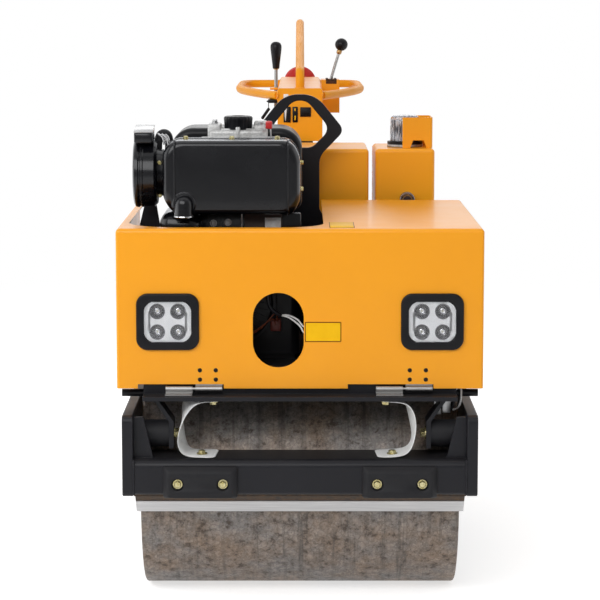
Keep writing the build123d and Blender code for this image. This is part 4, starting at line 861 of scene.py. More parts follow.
fan_at = (-0.125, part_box("crankcase")[0].y, 0.562)
fan_rim = [(0, 0), (0.001, 0.03), (0.004, 0.034), (0.004, 0.07), (0.0005, 0.074), (0.0005, 0.078),
           (-0.004, 0.0795), (-0.01, 0.0795)]
shroud = rounded_box((-0.266, -0.832, 0.6), (-0.186, -0.64, 0.74), 0.026, 5)
band = rounded_box((-0.19, -0.79, 0.64), (0.002, -0.775, 0.734), 0.003, 2)
ridden("blower_housing", [shroud, band], stove_black, "chassis")
ridden("fan_cover", [turned(fan_rim, fan_at, (0, -1, 0), 64)], black_plastic, "chassis")

grille, given, out = plant("fan grille", Slots=24, Inner_Radius=0.034, Bar=(0.034, 0.003, 0.003))
middle_ring = add(grille, "GeometryNodeMeshCircle", given["Slots"], 0.00001)
bar_long = add(grille, "ShaderNodeSeparateXYZ", given["Bar"], give="X")
reach = math_node(grille, "ADD", given["Inner Radius"], math_node(grille, "MULTIPLY", bar_long, 0.5))
spoke = add(grille, "GeometryNodeTransform", add(grille, "GeometryNodeMeshCube", given["Bar"]),
            Translation=add(grille, "ShaderNodeCombineXYZ", reach))
step_round = math_node(grille, "DIVIDE", math.tau, given["Slots"])
turn = math_node(grille, "MULTIPLY", add(grille, "GeometryNodeInputIndex"), step_round)
fan = add(grille, "GeometryNodeInstanceOnPoints", middle_ring, Instance=spoke,
          Rotation=add(grille, "ShaderNodeCombineXYZ", Z=turn))
ripen(grille, given, out, add(grille, "GeometryNodeTransform", fan, Rotation=(math.pi / 2, 0, 0),
                              Translation=(fan_at[0], fan_at[1] - 0.0045, fan_at[2])))
screwed("fan_grille_bars", [(fan_at, (0, -1, 0))], "chassis", black_plastic, grille, Slots=30)

# ---- cooling plates under the silencer -----------------------------------------------------------
# Pressed plates close the gap under the silencer. One is a brown heat-resisting board with a blank
# aluminium plate riveted on it.
board = mottled("brown board", (220, 5, 0.7), (0.03, 0.018, 0.014), (0.055, 0.03, 0.022), middle_span, None,
                (0.3, 0.0004), Roughness=0.6)
plate_white = mottled("blank plate", (130, 5, 0.65), (0.93, 0.93, 0.93), (0.7, 0.7, 0.7), (0.4, 0.75),
                      Roughness=0.45)
ridden("heat_board", [rounded_box((-0.106, -0.7945, 0.66), (-0.034, -0.79, 0.733), 0.001, 2)], board,
       "chassis")
ridden("engine_plate", [rounded_box((-0.0667, -0.7953, 0.7), (-0.0363, -0.7945, 0.7257), 0.0003, 1)],
       plate_white, "chassis")
grey_zinc = mottled("grey zinc", (160, 3, 0.6), (0.34, 0.35, 0.36), (0.58, 0.58, 0.58), middle_span,
                    (0.3, 0.45), (0.15, 0.0003, 0.0005), Metallic=0.85)
housing_spots = [((x, -0.79, z), (0, -1, 0)) for x, z in ((-0.1648, 0.715), (-0.137, 0.7165))]
screwed("housing_screws", housing_spots, "chassis", grey_zinc, Washer_Radius=0.0068, Head_Radius=0.0048,
        Head_Height=0.004, Seed=8)


def swept(group, given, out, curve):
    """Ends a tree in a round bar along a curve."""
    section = add(group, "GeometryNodeCurvePrimitiveCircle", Radius=given["Radius"],
                  Resolution=given["Sides"])
    ripen(group, given, out, add(group, "GeometryNodeCurveToMesh", curve, section, Fill_Caps=True))


tubes, given, out = plant("drawn tube", Radius=0.003, Sides=12, Step=0.005)
swept(tubes, given, out, smooth_path(tubes, given["Geometry"], given["Step"]))
along("breather_pipe", tubes, [[(-0.1106, -0.7965, z) for z in (0.652, 0.69, 0.733)]], "chassis", grey_zinc,
      Radius=0.0016)

# ---- silencer ------------------------------------------------------------------------------------
# Two pressed half shells screwed together at a seam, with stiffening beads near the ends. The lip
# of its spout is burnt bare.
bead_tree, given, out = plant("pressed beads", Radius=0.0022, Sides=8)
swept(bead_tree, given, out, add(bead_tree, "GeometryNodeMeshToCurve", given["Geometry"]))


def softened(points, radii, share, steps):
    """Outline whose corners are short arcs. Each takes at most a share of either side."""
    outline = []
    for n, (here, radius) in enumerate(zip(points, radii)):
        here = Vector(here)
        back, on = Vector(points[n - 1]) - here, Vector(points[(n + 1) % len(points)]) - here
        start, stop = [here + side.normalized() * min(radius, side.length * share) for side in (back, on)]
        for t in [step / steps for step in range(steps + 1)]:
            outline.append(tuple(start * (1 - t) ** 2 + here * 2 * t * (1 - t) + stop * t ** 2))
    return outline


shell_left, shell_right, shell_foot, shell_top, shell_front = -0.258, 0.001, 0.737, 0.876, -0.862
shell_corners = [(shell_left + 0.021, shell_foot), (shell_right - 0.014, shell_foot),
                 (shell_right, shell_foot + 0.026), (shell_right, shell_top - 0.03),
                 (shell_right - 0.018, shell_top), (shell_left + 0.018, shell_top),
                 (shell_left, shell_top - 0.022), (shell_left, shell_foot + 0.03)]
shell_line = softened(shell_corners, [0.016] * len(shell_corners), 0.45, 5)
# distance behind the front, and how far the ends and the top and foot roll in there
shell_roll = [(0.0, 0.0165, 0.01), (0.0004, 0.013, 0.0076), (0.0014, 0.0098, 0.0054),
              (0.0032, 0.0066, 0.0034), (0.006, 0.0038, 0.0018), (0.0095, 0.0018, 0.0006),
              (0.014, 0.0005, 0), (0.019, 0, 0), (0.058, 0, 0), (0.0584, -0.0012, -0.0012),
              (0.0616, -0.0012, -0.0012), (0.062, 0, 0), (0.105, 0, 0), (0.113, 0.0016, 0.0016),
              (0.118, 0.0056, 0.0056), (0.12, 0.011, 0.011)]


def rolled_outline(outline, end_in, top_in):
    """The shell's outline drawn in by one amount at its ends and another at its top and foot."""
    middle_x, middle_z = (shell_left + shell_right) / 2, (shell_foot + shell_top) / 2
    half_wide, half_high = max(x for x, _ in outline) - middle_x, max(z for _, z in outline) - middle_z
    return [(middle_x + (x - middle_x) * (1 - end_in / half_wide),
             middle_z + (z - middle_z) * (1 - top_in / half_high)) for x, z in outline]


shell = lofted(*[(rolled_outline(shell_line, wide, high), shell_front + back)
                 for back, wide, high in shell_roll])
spout_at, spout_radius = (-0.217, shell_front, 0.733), 0.0176
spout_line = [(0.02, 0), (0.02, 0.0128), (0, 0.0134), (0, 0.0186), (0.004, 0.0184), (0.01, spout_radius),
              (0.024, spout_radius)]
for angle in [math.radians(degrees) for degrees in range(15, 90, 15)]:
    spout_line.append((0.024 + 0.0172 * math.sin(angle), spout_radius * math.cos(angle)))
spout = turned(spout_line + [(0.0412, 0)], spout_at, (0, 0, 1), 40)
collar = turned(capped((0, 0.0235), (0.003, 0.0235), (0.006, 0.02)),
                (spout_at[0], shell_front + 0.004, 0.757), (0, -1, 0), 40)
inlet = turned(capped((0, 0.0175), (0.02, 0.0175)), (-0.12, -0.7495, 0.8065), (0, 1, 0), 32)
ridden("silencer", [shell, spout, collar, inlet], stove_black, "chassis", "muffler")

# each bead follows the shell over its top, front and foot at one station along it
bead_runs = [[(x, shell_front + back, shell_top - high) for back, _, high in shell_roll[7::-1]]
             + [(x, shell_front + back, shell_foot + high) for back, _, high in shell_roll[:8]]
             for x in (-0.2345, -0.0225)]
along("silencer_beads", bead_tree, bead_runs, "chassis", stove_black, Radius=0.002)

seam_y = -0.802
silencer_spots = [((x, seam_y, shell_top), (0, 0, 1)) for x in (-0.216, -0.129, -0.043)]
silencer_spots += [((x, seam_y, z), (way, 0, 0)) for x, z, way in (
    (shell_right, 0.831, 1), (shell_right, 0.781, 1), (shell_left, 0.836, -1), (shell_left, 0.777, -1))]
screwed("silencer_screws", silencer_spots, "chassis", Washer_Radius=0.006, Washer_Thickness=0.0012,
        Head_Radius=0.0046, Head_Height=0.0042, Seed=21)
lip = [(-0.0008, 0.0136), (-0.0008, 0.0186), (0.0008, 0.0192), (0.0022, 0.0188), (0.0022, 0.0134),
       (-0.0008, 0.0136)]
ridden("spout_lip", [turned(lip, spout_at, (0, 0, 1), 40)], chrome, "chassis")

# ---- air cleaner ---------------------------------------------------------------------------------
# Round canister of pressed steel on its side, stoved black, with a rolled rim. A rain cap with a
# glossy top stands on it, the top's pale grey a painted highlight, and clips hold its inner half.
can_low, can_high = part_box("air_cleaner")
cap_fall, cap_rear, cap_deep, cap_foot, cap_high = 0.009, -0.778, 0.062, 0.87, 0.029
canister = turned(capped((0, 0.02), (0.003, 0.024), (0.003, 0.052), (0.0008, 0.0555), (0.0008, 0.06),
                         (0.0035, 0.0648), (0.007, 0.066), (0.01, 0.066), (0.0118, 0.0642), (0.014, 0.0642),
                         (0.0155, 0.0655), (0.0185, 0.0655), (0.02, 0.064), (0.04, 0.064), (0.045, 0.0585),
                         (0.045, 0.047), (0.05, 0.045), (0.056, 0.044), (0.057, 0.04)),
                  (can_low.x, -0.784, 0.811), (1, 0, 0), 64)
cap_box = rounded_box((can_low.x + 0.0035, -0.84, 0.869), (can_low.x + 0.039, cap_rear, 0.899), 0.0045, 3)
cap_lid = rounded_box((can_low.x + 0.003, -0.8408, 0.8985),
                      (can_low.x + 0.0395, -0.7775, can_high.z - 0.0015), 0.0014, 2)
for vert in cap_box.vertices:
    vert.co.z -= cap_fall * max(0, vert.co.z - cap_foot) / cap_high * (cap_rear - vert.co.y) / cap_deep
for vert in cap_lid.vertices:
    vert.co.z -= cap_fall * (cap_rear - vert.co.y) / cap_deep
duct_run = [(x, y, 0.823) for x, y in ((-0.2745, -0.727), (-0.262, -0.727), (-0.2555, -0.722),
                                       (-0.254, -0.71), (-0.2535, -0.695), (-0.248, -0.684),
                                       (-0.236, -0.682), (-0.196, -0.682))]
along("air_duct", tubes, [duct_run], "chassis", rubber, Radius=0.009, Sides=16, Step=0.004)
ridden("air_canister", [canister, cap_box], stove_black, "chassis", "air_cleaner")
# the cap's top is pale grey where the black cap catches the light: a painted highlight
cap_top_painted_highlight = mottled("rain cap top", (40, 3), (0.4, 0.41, 0.42), (0.52, 0.52, 0.53), gloss=(0.12, 0.2),
                     Specular_IOR_Level=0.8)
ridden("rain_cap_top", [cap_lid], cap_top_painted_highlight, "chassis")

intake_run = [(-0.2705, -0.772, 0.846), (-0.27, -0.77, 0.868), (-0.2655, -0.764, 0.8815),
              (-0.257, -0.752, 0.883), (-0.252, -0.736, 0.874), (-0.2515, -0.727, 0.852),
              (-0.2515, -0.724, 0.828)]
along("intake_elbow", tubes, [intake_run], "chassis", rubber, Radius=0.0082, Sides=20, Step=0.003)
neck_spots = [((-0.265, -0.824, 0.832), (0, -1, 0)), ((-0.2655, -0.8035, 0.769), (0, -1, 0))]
screwed("air_cleaner_screws", neck_spots, "chassis", Washer_Radius=0.0042, Washer_Thickness=0.001,
        Head_Radius=0.0032, Head_Height=0.003, Seed=8)
clip_runs = [[(x + shift, y, z - drop) for x, z in ((-0.269, 0.886), (-0.26, 0.879), (-0.256, 0.865))]
             for y in (-0.806, -0.764) for shift, drop in ((0, 0), (0.0075, 0.001))]
along("air_cleaner_clips", tubes, clip_runs, "chassis", chrome, Radius=0.0019, Step=0.002)
# a black support plate under the canister, whose black also stands for the hood's shaded inner side: partly
# painted shade
support_and_shade_line = softened([(-0.312, 0.45), (-0.248, 0.45), (-0.248, 0.56), (-0.279, 0.748), (-0.3, 0.748),
                         (-0.312, 0.7)], [0.008] * 6, 0.45, 4)[::-1]
ridden("air_cleaner_bracket", [lofted((support_and_shade_line, -0.706), (support_and_shade_line, -0.701))], frame_black,
       "chassis")

# ---- rocker cover --------------------------------------------------------------------------------
# Sand-cast alloy cover with pillars for its screws, a ribbed black breather cap, and a red knob on
# the decompression rod.
pillars = [rounded_box((-0.1785, -0.7, 0.866), (-0.153, -0.64, 0.8985), 0.0035),
           rounded_box((-0.0895, -0.7, 0.866), (-0.064, -0.676, 0.896), 0.0035),
           rounded_box((-0.1245, -0.7085, 0.864), (-0.1155, -0.6985, 0.893), 0.0025),
           rounded_box((-0.179, -0.708, 0.866), (-0.062, -0.702, 0.8745), 0.002, 2)]
for y in [-0.694 + 0.021 * n for n in range(5)]:
    pillars.append(rounded_box((-0.154, y - 0.0018, 0.884), (-0.089, y + 0.0018, 0.8895), 0.0012, 2))
ridden("rocker_castings", pillars, cast_alloy, "chassis")
cover_spots = [(place, (0, 0, 1)) for place in ((-0.166, -0.688, 0.8985), (-0.166, -0.652, 0.8985),
                                                (-0.077, -0.688, 0.896))]
screwed("rocker_screws", cover_spots, "chassis", grey_zinc, Washer_Radius=0.0065, Head_Radius=0.0048,
        Head_Height=0.0048, Seed=14)
cap = capped((0, 0.0268), (0.017, 0.0276), (0.018, 0.028), (0.0225, 0.028), (0.025, 0.0262), (0.0262, 0.0225),
             (0.0262, 0.0135), (0.0236, 0.0125))
ribbed_cap = turned(cap, (-0.12, -0.674, 0.887), (0, 0, 1), 120, flutes=20, depth=0.0008)
ridden("breather_cap_ribbed", [ribbed_cap], black_plastic, "chassis", "breather_cap")

red = mottled("red plastic", (40, 3), (0.52, 0.01, 0.012), (0.62, 0.018, 0.018), gloss=(0.28, 0.36),
              Coat_Weight=0.2)
coat(red, "stop_disc")
ridden("decompression_knob", [rounded_box((-0.0665, -0.708, 0.889), (-0.0535, -0.696, 0.9045), 0.003, 4)],
       red, "chassis")
rod_run = [(-0.0572, -0.702, 0.89), (-0.0566, -0.702, 0.88), (-0.056, -0.702, 0.856)]
along("decompression_rod", tubes, [rod_run], "chassis", grey_zinc, Radius=0.0015)

# ---- lifting plate -------------------------------------------------------------------------------
# Flame-cut 12 mm plate with a broad hoop for the crane hook, welded upright on its foot in the
# middle of the deck and sprayed with the frame.


def walls(work, rings):
    """Faces between closed rings of vertices."""
    for low, high in zip(rings, rings[1:]):
        for n in range(len(low)):
            work.faces.new((low[n - 1], low[n], high[n], high[n - 1]))


def rim_edges(work, ring_verts):
    """Edges round a closed ring of vertices."""
    return [work.edges.get((ring_verts[n - 1], ring_verts[n])) for n in range(len(ring_verts))]


def cut_plate(outline, holes, front, rear, edge=0.0009):
    """Flat plate of an XZ outline with holes through it, between two Y stations, its edges eased."""
    plate = bmesh.new()
    caps = [[], []]
    for line in [outline] + holes:
        area = sum(a[0] * b[1] - b[0] * a[1] for a, b in zip(line, line[1:] + line[:1]))
        into = edge if (area > 0) == (line is outline) else -edge
        eased = []
        for n, here in enumerate(line):
            back = (Vector(here) - Vector(line[n - 1])).normalized()
            on = (Vector(line[(n + 1) % len(line)]) - Vector(here)).normalized()
            left = Vector((-back.y - on.y, back.x + on.x)).normalized()
            eased.append(Vector(here) + left * into / max(0.6, left.dot(Vector((-back.y, back.x)))))
        rings = [[plate.verts.new((x, y, z)) for x, z in loop]
                 for loop, y in ((eased, front), (line, front + edge), (line, rear - edge), (eased, rear))]
        walls(plate, rings)
        for cap, loop in zip(caps, (rings[0], rings[-1])):
            cap += rim_edges(plate, loop)
    for cap in caps:
        bmesh.ops.triangle_fill(plate, use_beauty=True, use_dissolve=False, edges=cap)
    bmesh.ops.recalc_face_normals(plate, faces=plate.faces[:])
    return settled(plate)


def both_sides(half, radii):
    """Closed outline from the right half of a symmetrical one, each corner softened by its own amount."""
    return softened(half + [(-x, z) for x, z in half[::-1]], radii + radii[::-1], 0.49, 8)


deck_level, foot_thick, plate_front, plate_rear = 0.45, 0.01, -0.302, -0.29
hoop = both_sides([(0.0495, deck_level), (0.0495, 0.683), (0.041, 0.698), (0.041, 0.8088), (0.0938, 0.8637),
                   (0.0327, 0.9395)], [0.001, 0.004, 0.004, 0.016, 0.017, 0.03])
hook_hole = both_sides([(0.0252, 0.8273), (0.0645, 0.866), (0.0145, 0.9261)], [0.011, 0.023, 0.014])
foot_plate = rounded_box((-0.07, -0.326, deck_level), (0.07, -0.266, deck_level + foot_thick), 0.0015, 2)
ridden("lifting_hoop", [cut_plate(hoop, [hook_hole], plate_front, plate_rear), foot_plate], frame_black,
       "chassis", "lifting_plate")
foot_runs = [[(x, y, deck_level + foot_thick) for x in (-0.049, 0.049)] for y in (plate_front, plate_rear)]
along("lifting_welds", beads, foot_runs, "chassis", frame_black, Radius=0.0034, Pitch=0.0038, Seed=3)

# ---- side plates ---------------------------------------------------------------------------------
# Flame-cut 20 mm plates close the lower frame's sides and carry the drums. Their lower edge drops
# to a shallow lobe under each axle, and an eye at mid length takes the tie-down hook.
plate_inner, plate_outer, plate_top, plate_foot, lobe_foot = 0.307, 0.327, 0.38, 0.229, 0.171
frame_front, frame_rear, lobe_reach, lobe_flat, eye_radius, eye_high = -1.002, 0.098, 0.13, 0.022, 0.019, 0.33
corners = [(frame_front, plate_foot)]
for y in axle_stations:
    corners += [(y - lobe_reach, plate_foot), (y - lobe_flat, lobe_foot),
                (y + lobe_flat, lobe_foot), (y + lobe_reach, plate_foot)]
corners += [(frame_rear, plate_foot), (frame_rear, plate_top), (frame_front, plate_top)]
bends = [0.01] + [0.03, 0.026, 0.026, 0.03] * 2 + [0.01, 0.014, 0.014]
side_line = softened(corners, bends, 0.49, 6)
eye_line = [(length_middle + eye_radius * math.cos(a), eye_high + eye_radius * math.sin(a))
            for a in turns(40)]
quarter_turn = Matrix.Rotation(math.radians(90), 4, "Z")
cover = capped((0, 0.0385), (0.0072, 0.0385), (0.0086, 0.037))
flange = capped((0, 0.039), (0.011, 0.039), (0.012, 0.038), (0.012, 0.027), (0.064, 0.027), (0.065, 0.026))
flanges = []
for name, side in (("side_plate_left", -1), ("side_plate_right", 1)):
    skirt = cut_plate(side_line, [eye_line], *sorted((-side * plate_inner, -side * plate_outer)), 0.0014)
    skirt.transform(quarter_turn)
    covers = [turned(cover, (side * plate_outer, y, axle_height), (side, 0, 0), 72) for y in axle_stations]
    ridden(name.replace("side_plate", "skirt"), [skirt] + covers, frame_black, "chassis", name)
    flanges += [turned(flange, (side * plate_inner, y, axle_height), (-side, 0, 0)) for y in axle_stations]
ridden("axle_flanges", flanges, bright_steel, "chassis", "stub_axles")

# ---- scraper blades ------------------------------------------------------------------------------
# A rusty carrier under each beam holds a cut steel blade close to its drum.
rusty = mottled("rusty carrier", (70, 7, 0.7), (0.03, 0.022, 0.017), (0.105, 0.066, 0.04), (0.35, 0.65),
                (0.6, 0.85), (0.4, 0.0006), Metallic=0.1)
coat(rusty, "scrapers")
blade_half, blade_tip, blade_rise, blade_slope, blade_thick = 0.3066, 0.1868, 0.0245, 0.025, 0.003
blades = []
for end, middle in zip((-1, 1), axle_stations):
    tip_y = middle + end * 0.2192
    section = [(tip_y, blade_tip), (tip_y + end * blade_slope, blade_tip + blade_rise),
               (tip_y + end * (blade_slope + blade_thick), blade_tip + blade_rise - blade_thick),
               (tip_y + end * blade_thick, blade_tip - blade_thick)]
    blade = cut_plate(section, [], -blade_half, blade_half, 0.0005)
    blade.transform(quarter_turn)
    blades.append(blade)
ridden("scraper_blades", blades, scraper_steel, "chassis")

# ---- bumper pads ---------------------------------------------------------------------------------
# Moulded rubber pads protect the beams. Each is chamfered all round and hollowed for two screws
# with their washers.
pad_wide, pad_base, pad_crown, well_apart, well_high = 0.137, 0.2286, 0.2875, 0.0415, 0.255
slope = [(0, 0), (0, 0.005), (0.0006, 0.0068), (0.007, 0.0136), (0.0085, 0.0152), (0.0105, 0.016)]
pads = []
for seat, way in ((frame_front, -1), (frame_rear, 1)):
    for x in (-0.183, 0.183):
        pad = bmesh.new()
        loops = []
        for inset, depth in slope:
            low_z, high_z = pad_base + inset * 0.22, pad_crown - inset * 1.12
            outline = rounded_rectangle((x, (low_z + high_z) / 2), pad_wide - 2 * inset, high_z - low_z,
                                        0.0045, 5)
            loops.append([pad.verts.new((px, seat + way * depth, pz)) for px, pz in outline])
        walls(pad, loops)
        pad.faces.new(loops[0])
        rim = rim_edges(pad, loops[-1])
        for hole_x in (x - well_apart, x + well_apart):
            wells = []
            for radius, depth in ((0.0122, 0.016), (0.0113, 0.0152), (0.011, 0.0075)):
                wells.append([pad.verts.new((hole_x + radius * math.cos(a), seat + way * depth,
                                             well_high + radius * math.sin(a))) for a in turns(28)])
            walls(pad, wells)
            pad.faces.new(wells[-1])
            rim += rim_edges(pad, wells[0])
        bmesh.ops.triangle_fill(pad, use_beauty=True, use_dissolve=False, edges=rim)
        bmesh.ops.recalc_face_normals(pad, faces=pad.faces[:])
        for face in pad.faces:
            face.smooth = len(face.verts) == 4
        mesh = settled(pad)
        mesh.set_sharp_from_angle(angle=math.radians(50))
        pads.append(mesh)
ridden("pads_moulded", pads, rubber, "chassis", "bumper_pads")

# ---- tanks ---------------------------------------------------------------------------------------
# The water tank feeds the spray pipes and the oil tank the drive. Both are folded sheet with welded
# corners. The water tank has a ribbed cap and a clear level tube, the oil tank a brass filling port.
cap = capped((0, 0.0335), (0.015, 0.0335), (0.0172, 0.0325), (0.0182, 0.03), (0.0182, 0.02), (0.0166, 0.019))
filler = turned(cap, (-0.095, -0.137, 0.827), (0, 0, 1), 144, flutes=24, depth=0.0013)
handle = rounded_box((-0.113, -0.1405, 0.844), (-0.077, -0.1335, 0.852), 0.002)
ridden("filler_cap", [filler, handle], black_plastic, "chassis")

level_x, level_y, level_foot, level_top = -0.156, -0.2, 0.5, 0.78
tube_clear = mottled("clear tube", (120, 3), (0.86, 0.9, 0.88), (0.94, 0.96, 0.95), gloss=(0.1, 0.22),
                     Transmission_Weight=0.85, IOR=1.42)
along("level_tube", tubes, [[(level_x, level_y, z) for z in (level_foot, 0.64, level_top)]], "chassis",
      tube_clear, Radius=0.005, Sides=16, Step=0.02)
brass = mottled("brass", (180, 4, 0.65), (0.52, 0.33, 0.13), (0.26, 0.13, 0.06), (0.3, 0.72), (0.28, 0.45),
                Metallic=0.95)
inlet_line = capped((0, 0.0095), (0.004, 0.0095), (0.004, 0.0065), (0.011, 0.0065), (0.015, 0.006))
sleeve_line = capped((-0.006, 0.0068), (0.012, 0.0068), (0.013, 0.006))
elbows = []
for z, way in ((level_foot, 1), (level_top, -1)):
    elbows += [turned(inlet_line, (-0.1465, level_y, z), (-1, 0, 0), 24),
               turned(sleeve_line, (level_x, level_y, z), (0, 0, way), 24)]
ridden("level_tube_elbows", elbows, brass, "chassis")

port_x, port_z = 0.2284, 0.715
port = [(-0.006, 0), (-0.006, 0.0078), (0.0012, 0.0082), (0.0012, 0.0108), (-0.001, 0.0112), (-0.001, 0.0078)]
ridden("port_insert", [turned(port, (port_x, -0.272, port_z), (0, -1, 0), 32)], brass, "chassis")
knurl = [(-0.0005, 0), (-0.0005, 0.015), (0.0002, 0.0158), (0.003, 0.0158), (0.0038, 0.015), (0.0038, 0.0118),
         (-0.0004, 0.0114)]
ridden("port_ring", [turned(knurl, (port_x, -0.2712, port_z), (0, -1, 0), 96, flutes=24, depth=0.0008)],
       smoked_chrome, "chassis")

tank_runs = []
for name, corners_x in (("water_tank", (-0.1455, 0.1455)), ("oil_tank", (0.1616, 0.2862))):
    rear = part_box(name)[1].y - 0.0008
    tank_runs += [[(x, rear, 0.456), (x, rear, 0.814)] for x in corners_x]
along("tank_welds", beads, tank_runs, "chassis", orange, Radius=0.0018, Pitch=0.0026, Seed=12)

# ---- beacon --------------------------------------------------------------------------------------
# Clear fluted dome on a dark base with a plated ring, with a reflector inside whose light and dark
# streaks are painted reflections. It stands beside its folded guard.
beacon_x, beacon_y, dome_foot = 0.227, -0.167, 0.8335
dome = [(0, 0), (0, 0.0318), (0.004, 0.032), (0.047, 0.0312), (0.052, 0.0296), (0.055, 0.0255),
        (0.0562, 0.016), (0.0566, 0)]
fluted_dome = turned(dome, (beacon_x, beacon_y, dome_foot), (0, 0, 1), 144, flutes=24, depth=0.0016)
ridden("beacon_dome", [fluted_dome], clear, "chassis", "beacon_lens")
# the reflector's white and dark vertical streaks are painted reflections of a chrome surface
reflector_painted_reflections = mottled("reflector, painted reflections", (60, 2, 0.5, (4.5, 4.5, 0.12)), (0.07, 0.075, 0.1),
                   (0.82, 0.83, 0.88), (0.42, 0.56), (0.12, 0.3), Metallic=0.1)
inner = capped((0.001, 0.0292), (0.006, 0.0296), (0.01, 0.028), (0.026, 0.0262), (0.03, 0.0268),
               (0.0425, 0.029), (0.045, 0.0288), (0.046, 0.027))
fluted_inner = turned(inner, (beacon_x, beacon_y, dome_foot), (0, 0, 1), 96, flutes=24, depth=0.0022)
ridden("beacon_reflector", [fluted_inner], reflector_painted_reflections, "chassis")
plated = capped((0, 0.0376), (0.001, 0.0386), (0.0045, 0.0386), (0.0056, 0.0374))
ridden("beacon_ring", [turned(plated, (beacon_x, beacon_y, 0.822), (0, 0, 1), 72)], grey_zinc, "chassis")

# ---- steering arm --------------------------------------------------------------------------------
# The box arm carries the switches on its front face: a two-way switch with a white rocker, a slim
# switch, and a start switch. A wired cut-out hangs from a clip on its left.
arm_front = 0.178


def on_arm(left, foot, right, top, rise, edge, segments=2, sink=0.0):
    """Small part on the arm's front face, from its corners in XZ and how far it stands out."""
    return rounded_box((left, arm_front - rise, foot), (right, arm_front - sink, top), edge, segments)


switch_white = mottled("white rocker", (90, 3), (0.74, 0.74, 0.73), (0.84, 0.84, 0.83), Roughness=0.35)
rocker_foot, rocker_top, rocker_middle = 0.8591, 0.89, -0.0333
rocker = on_arm(-0.0366, rocker_foot, -0.03, rocker_top, 0.0055, 0.0012, 3, 0.0028)
for vert in rocker.vertices:
    share = (rocker_top - vert.co.z) / (rocker_top - rocker_foot)
    vert.co.x += 0.0022 * share if vert.co.x < rocker_middle else -0.0026 * share
for name, parts, look in (
        ("switch_bodies", [on_arm(-0.038, 0.8554, -0.0215, 0.8915, 0.003, 0.0012),
                           on_arm(-0.0174, 0.8554, -0.0051, 0.8915, 0.003, 0.0012),
                           on_arm(0.0004, 0.8682, 0.0253, 0.8905, 0.003, 0.0014),
                           on_arm(0.003, 0.8733, 0.0228, 0.887, 0.0056, 0.0016, 3, 0.0028),
                           on_arm(-0.0304, 0.8578, -0.0239, 0.889, 0.005, 0.0012, 2, 0.0028)], black_plastic),
        ("switch_rocker", [rocker], switch_white),
        ("switch_marks", [on_arm(-0.0127, 0.8819, -0.0099, 0.8875, 0.0036, 0.0002, 1, 0.003),
                          on_arm(-0.0127, 0.8606, -0.0099, 0.8708, 0.0036, 0.0002, 1, 0.003)], plate_yellow),
        ("arm_sticker", [on_arm(-0.0381, 0.9113, -0.0271, 0.9206, 0.0003, 0.0001, 1)], plate_white)):
    ridden(name, parts, look, "arm")

boot = rounded_box((-0.0035, -0.008, -0.015), (0.0035, 0.008, 0.015), 0.0022)
boot.transform(Matrix.Translation((-0.08, 0.206, 0.8745)) @ Matrix.Rotation(math.radians(35), 4, "Y"))
ridden("cut_out_switch", [rounded_box((-0.0745, 0.196, 0.899), (-0.052, 0.232, 0.907), 0.0022),
                          rounded_box((-0.0775, 0.2, 0.901), (-0.07, 0.21, 0.9045), 0.0012, 2), boot],
       black_plastic, "arm")
cut_out_run = [(x, 0.206, z) for x, z in ((-0.0728, 0.9), (-0.0732, 0.893), (-0.0728, 0.887),
                                          (-0.0735, 0.882))]
along("cut_out_wire", tubes, [cut_out_run], "arm", black_plastic, Radius=0.0009, Sides=8, Step=0.002)

# ---- levers --------------------------------------------------------------------------------------
# Plated rods carry a tapered grip and a ball knob, each on a brass ferrule. The left rod turns in a
# steadying bracket, and the right one moves in a gate lined with a brush.
grip_x, grip_y, grip_foot = -0.0565, 0.298, 0.9755
grip = turned([(0, 0), (0, 0.007), (0.0012, 0.0079), (0.012, 0.009), (0.03, 0.0112), (0.044, 0.0129),
               (0.0505, 0.0133), (0.055, 0.0128), (0.0592, 0.0108), (0.062, 0.0076), (0.0632, 0.0038),
               (0.0635, 0)], (grip_x, grip_y, grip_foot), (0, 0, 1))
ball_middle, gate_foot, ball_radius = Vector((0.099, 0.383, 1.0305)), Vector((0.0705, 0.383, 0.936)), 0.0152
lean, lever_long = (ball_middle - gate_foot).normalized(), (ball_middle - gate_foot).length - 0.014
ball_line = [(-ball_radius * math.cos(a), ball_radius * math.sin(a))
             for a in [math.radians(d) for d in range(20, 180, 10)]]
knob = turned([(ball_line[0][0], 0)] + ball_line + [(ball_radius, 0)], ball_middle, lean)
ridden("lever_grips", [grip, knob], black_plastic, "arm", "lever_knobs")
grip_rod = turned(capped((0, 0.0042), (0.0835, 0.0042)), (grip_x, grip_y, 0.893), (0, 0, 1), 24)
boss = turned(capped((0, 0.0105), (0.001, 0.0112), (0.009, 0.0112), (0.01, 0.0102)),
              (-0.0515, grip_y, 0.8945), (-1, 0, 0), 32)
ball_rod = turned(capped((0, 0.0036), (lever_long, 0.0036)), gate_foot, lean, 24)
ridden("lever_shafts", [grip_rod, boss, ball_rod], bright_steel, "arm", "lever_rods")
grip_ferrule = turned(capped((-0.002, 0.0056), (0.001, 0.006)), (grip_x, grip_y, grip_foot), (0, 0, 1), 28)
ball_ferrule = turned(capped((-0.0235, 0.0046), (-0.0215, 0.006), (-0.016, 0.0064), (-0.0135, 0.0052)),
                      ball_middle, lean, 28)
ridden("lever_ferrules", [grip_ferrule, ball_ferrule], brass, "arm")
ridden("lever_bracket", [rounded_box((-0.0708, 0.283, 0.9262), (-0.0515, 0.313, 0.9316), 0.0012, 2)],
       orange, "arm")
brush_brown = mottled("gate brush", (260, 4, 0.7), (0.035, 0.018, 0.012), (0.11, 0.05, 0.028), (0.4, 0.65),
                      Roughness=0.8, Specular_IOR_Level=0.2)
liner_front, liner_foot, liner_top = 0.3371, 0.9385, 0.9502
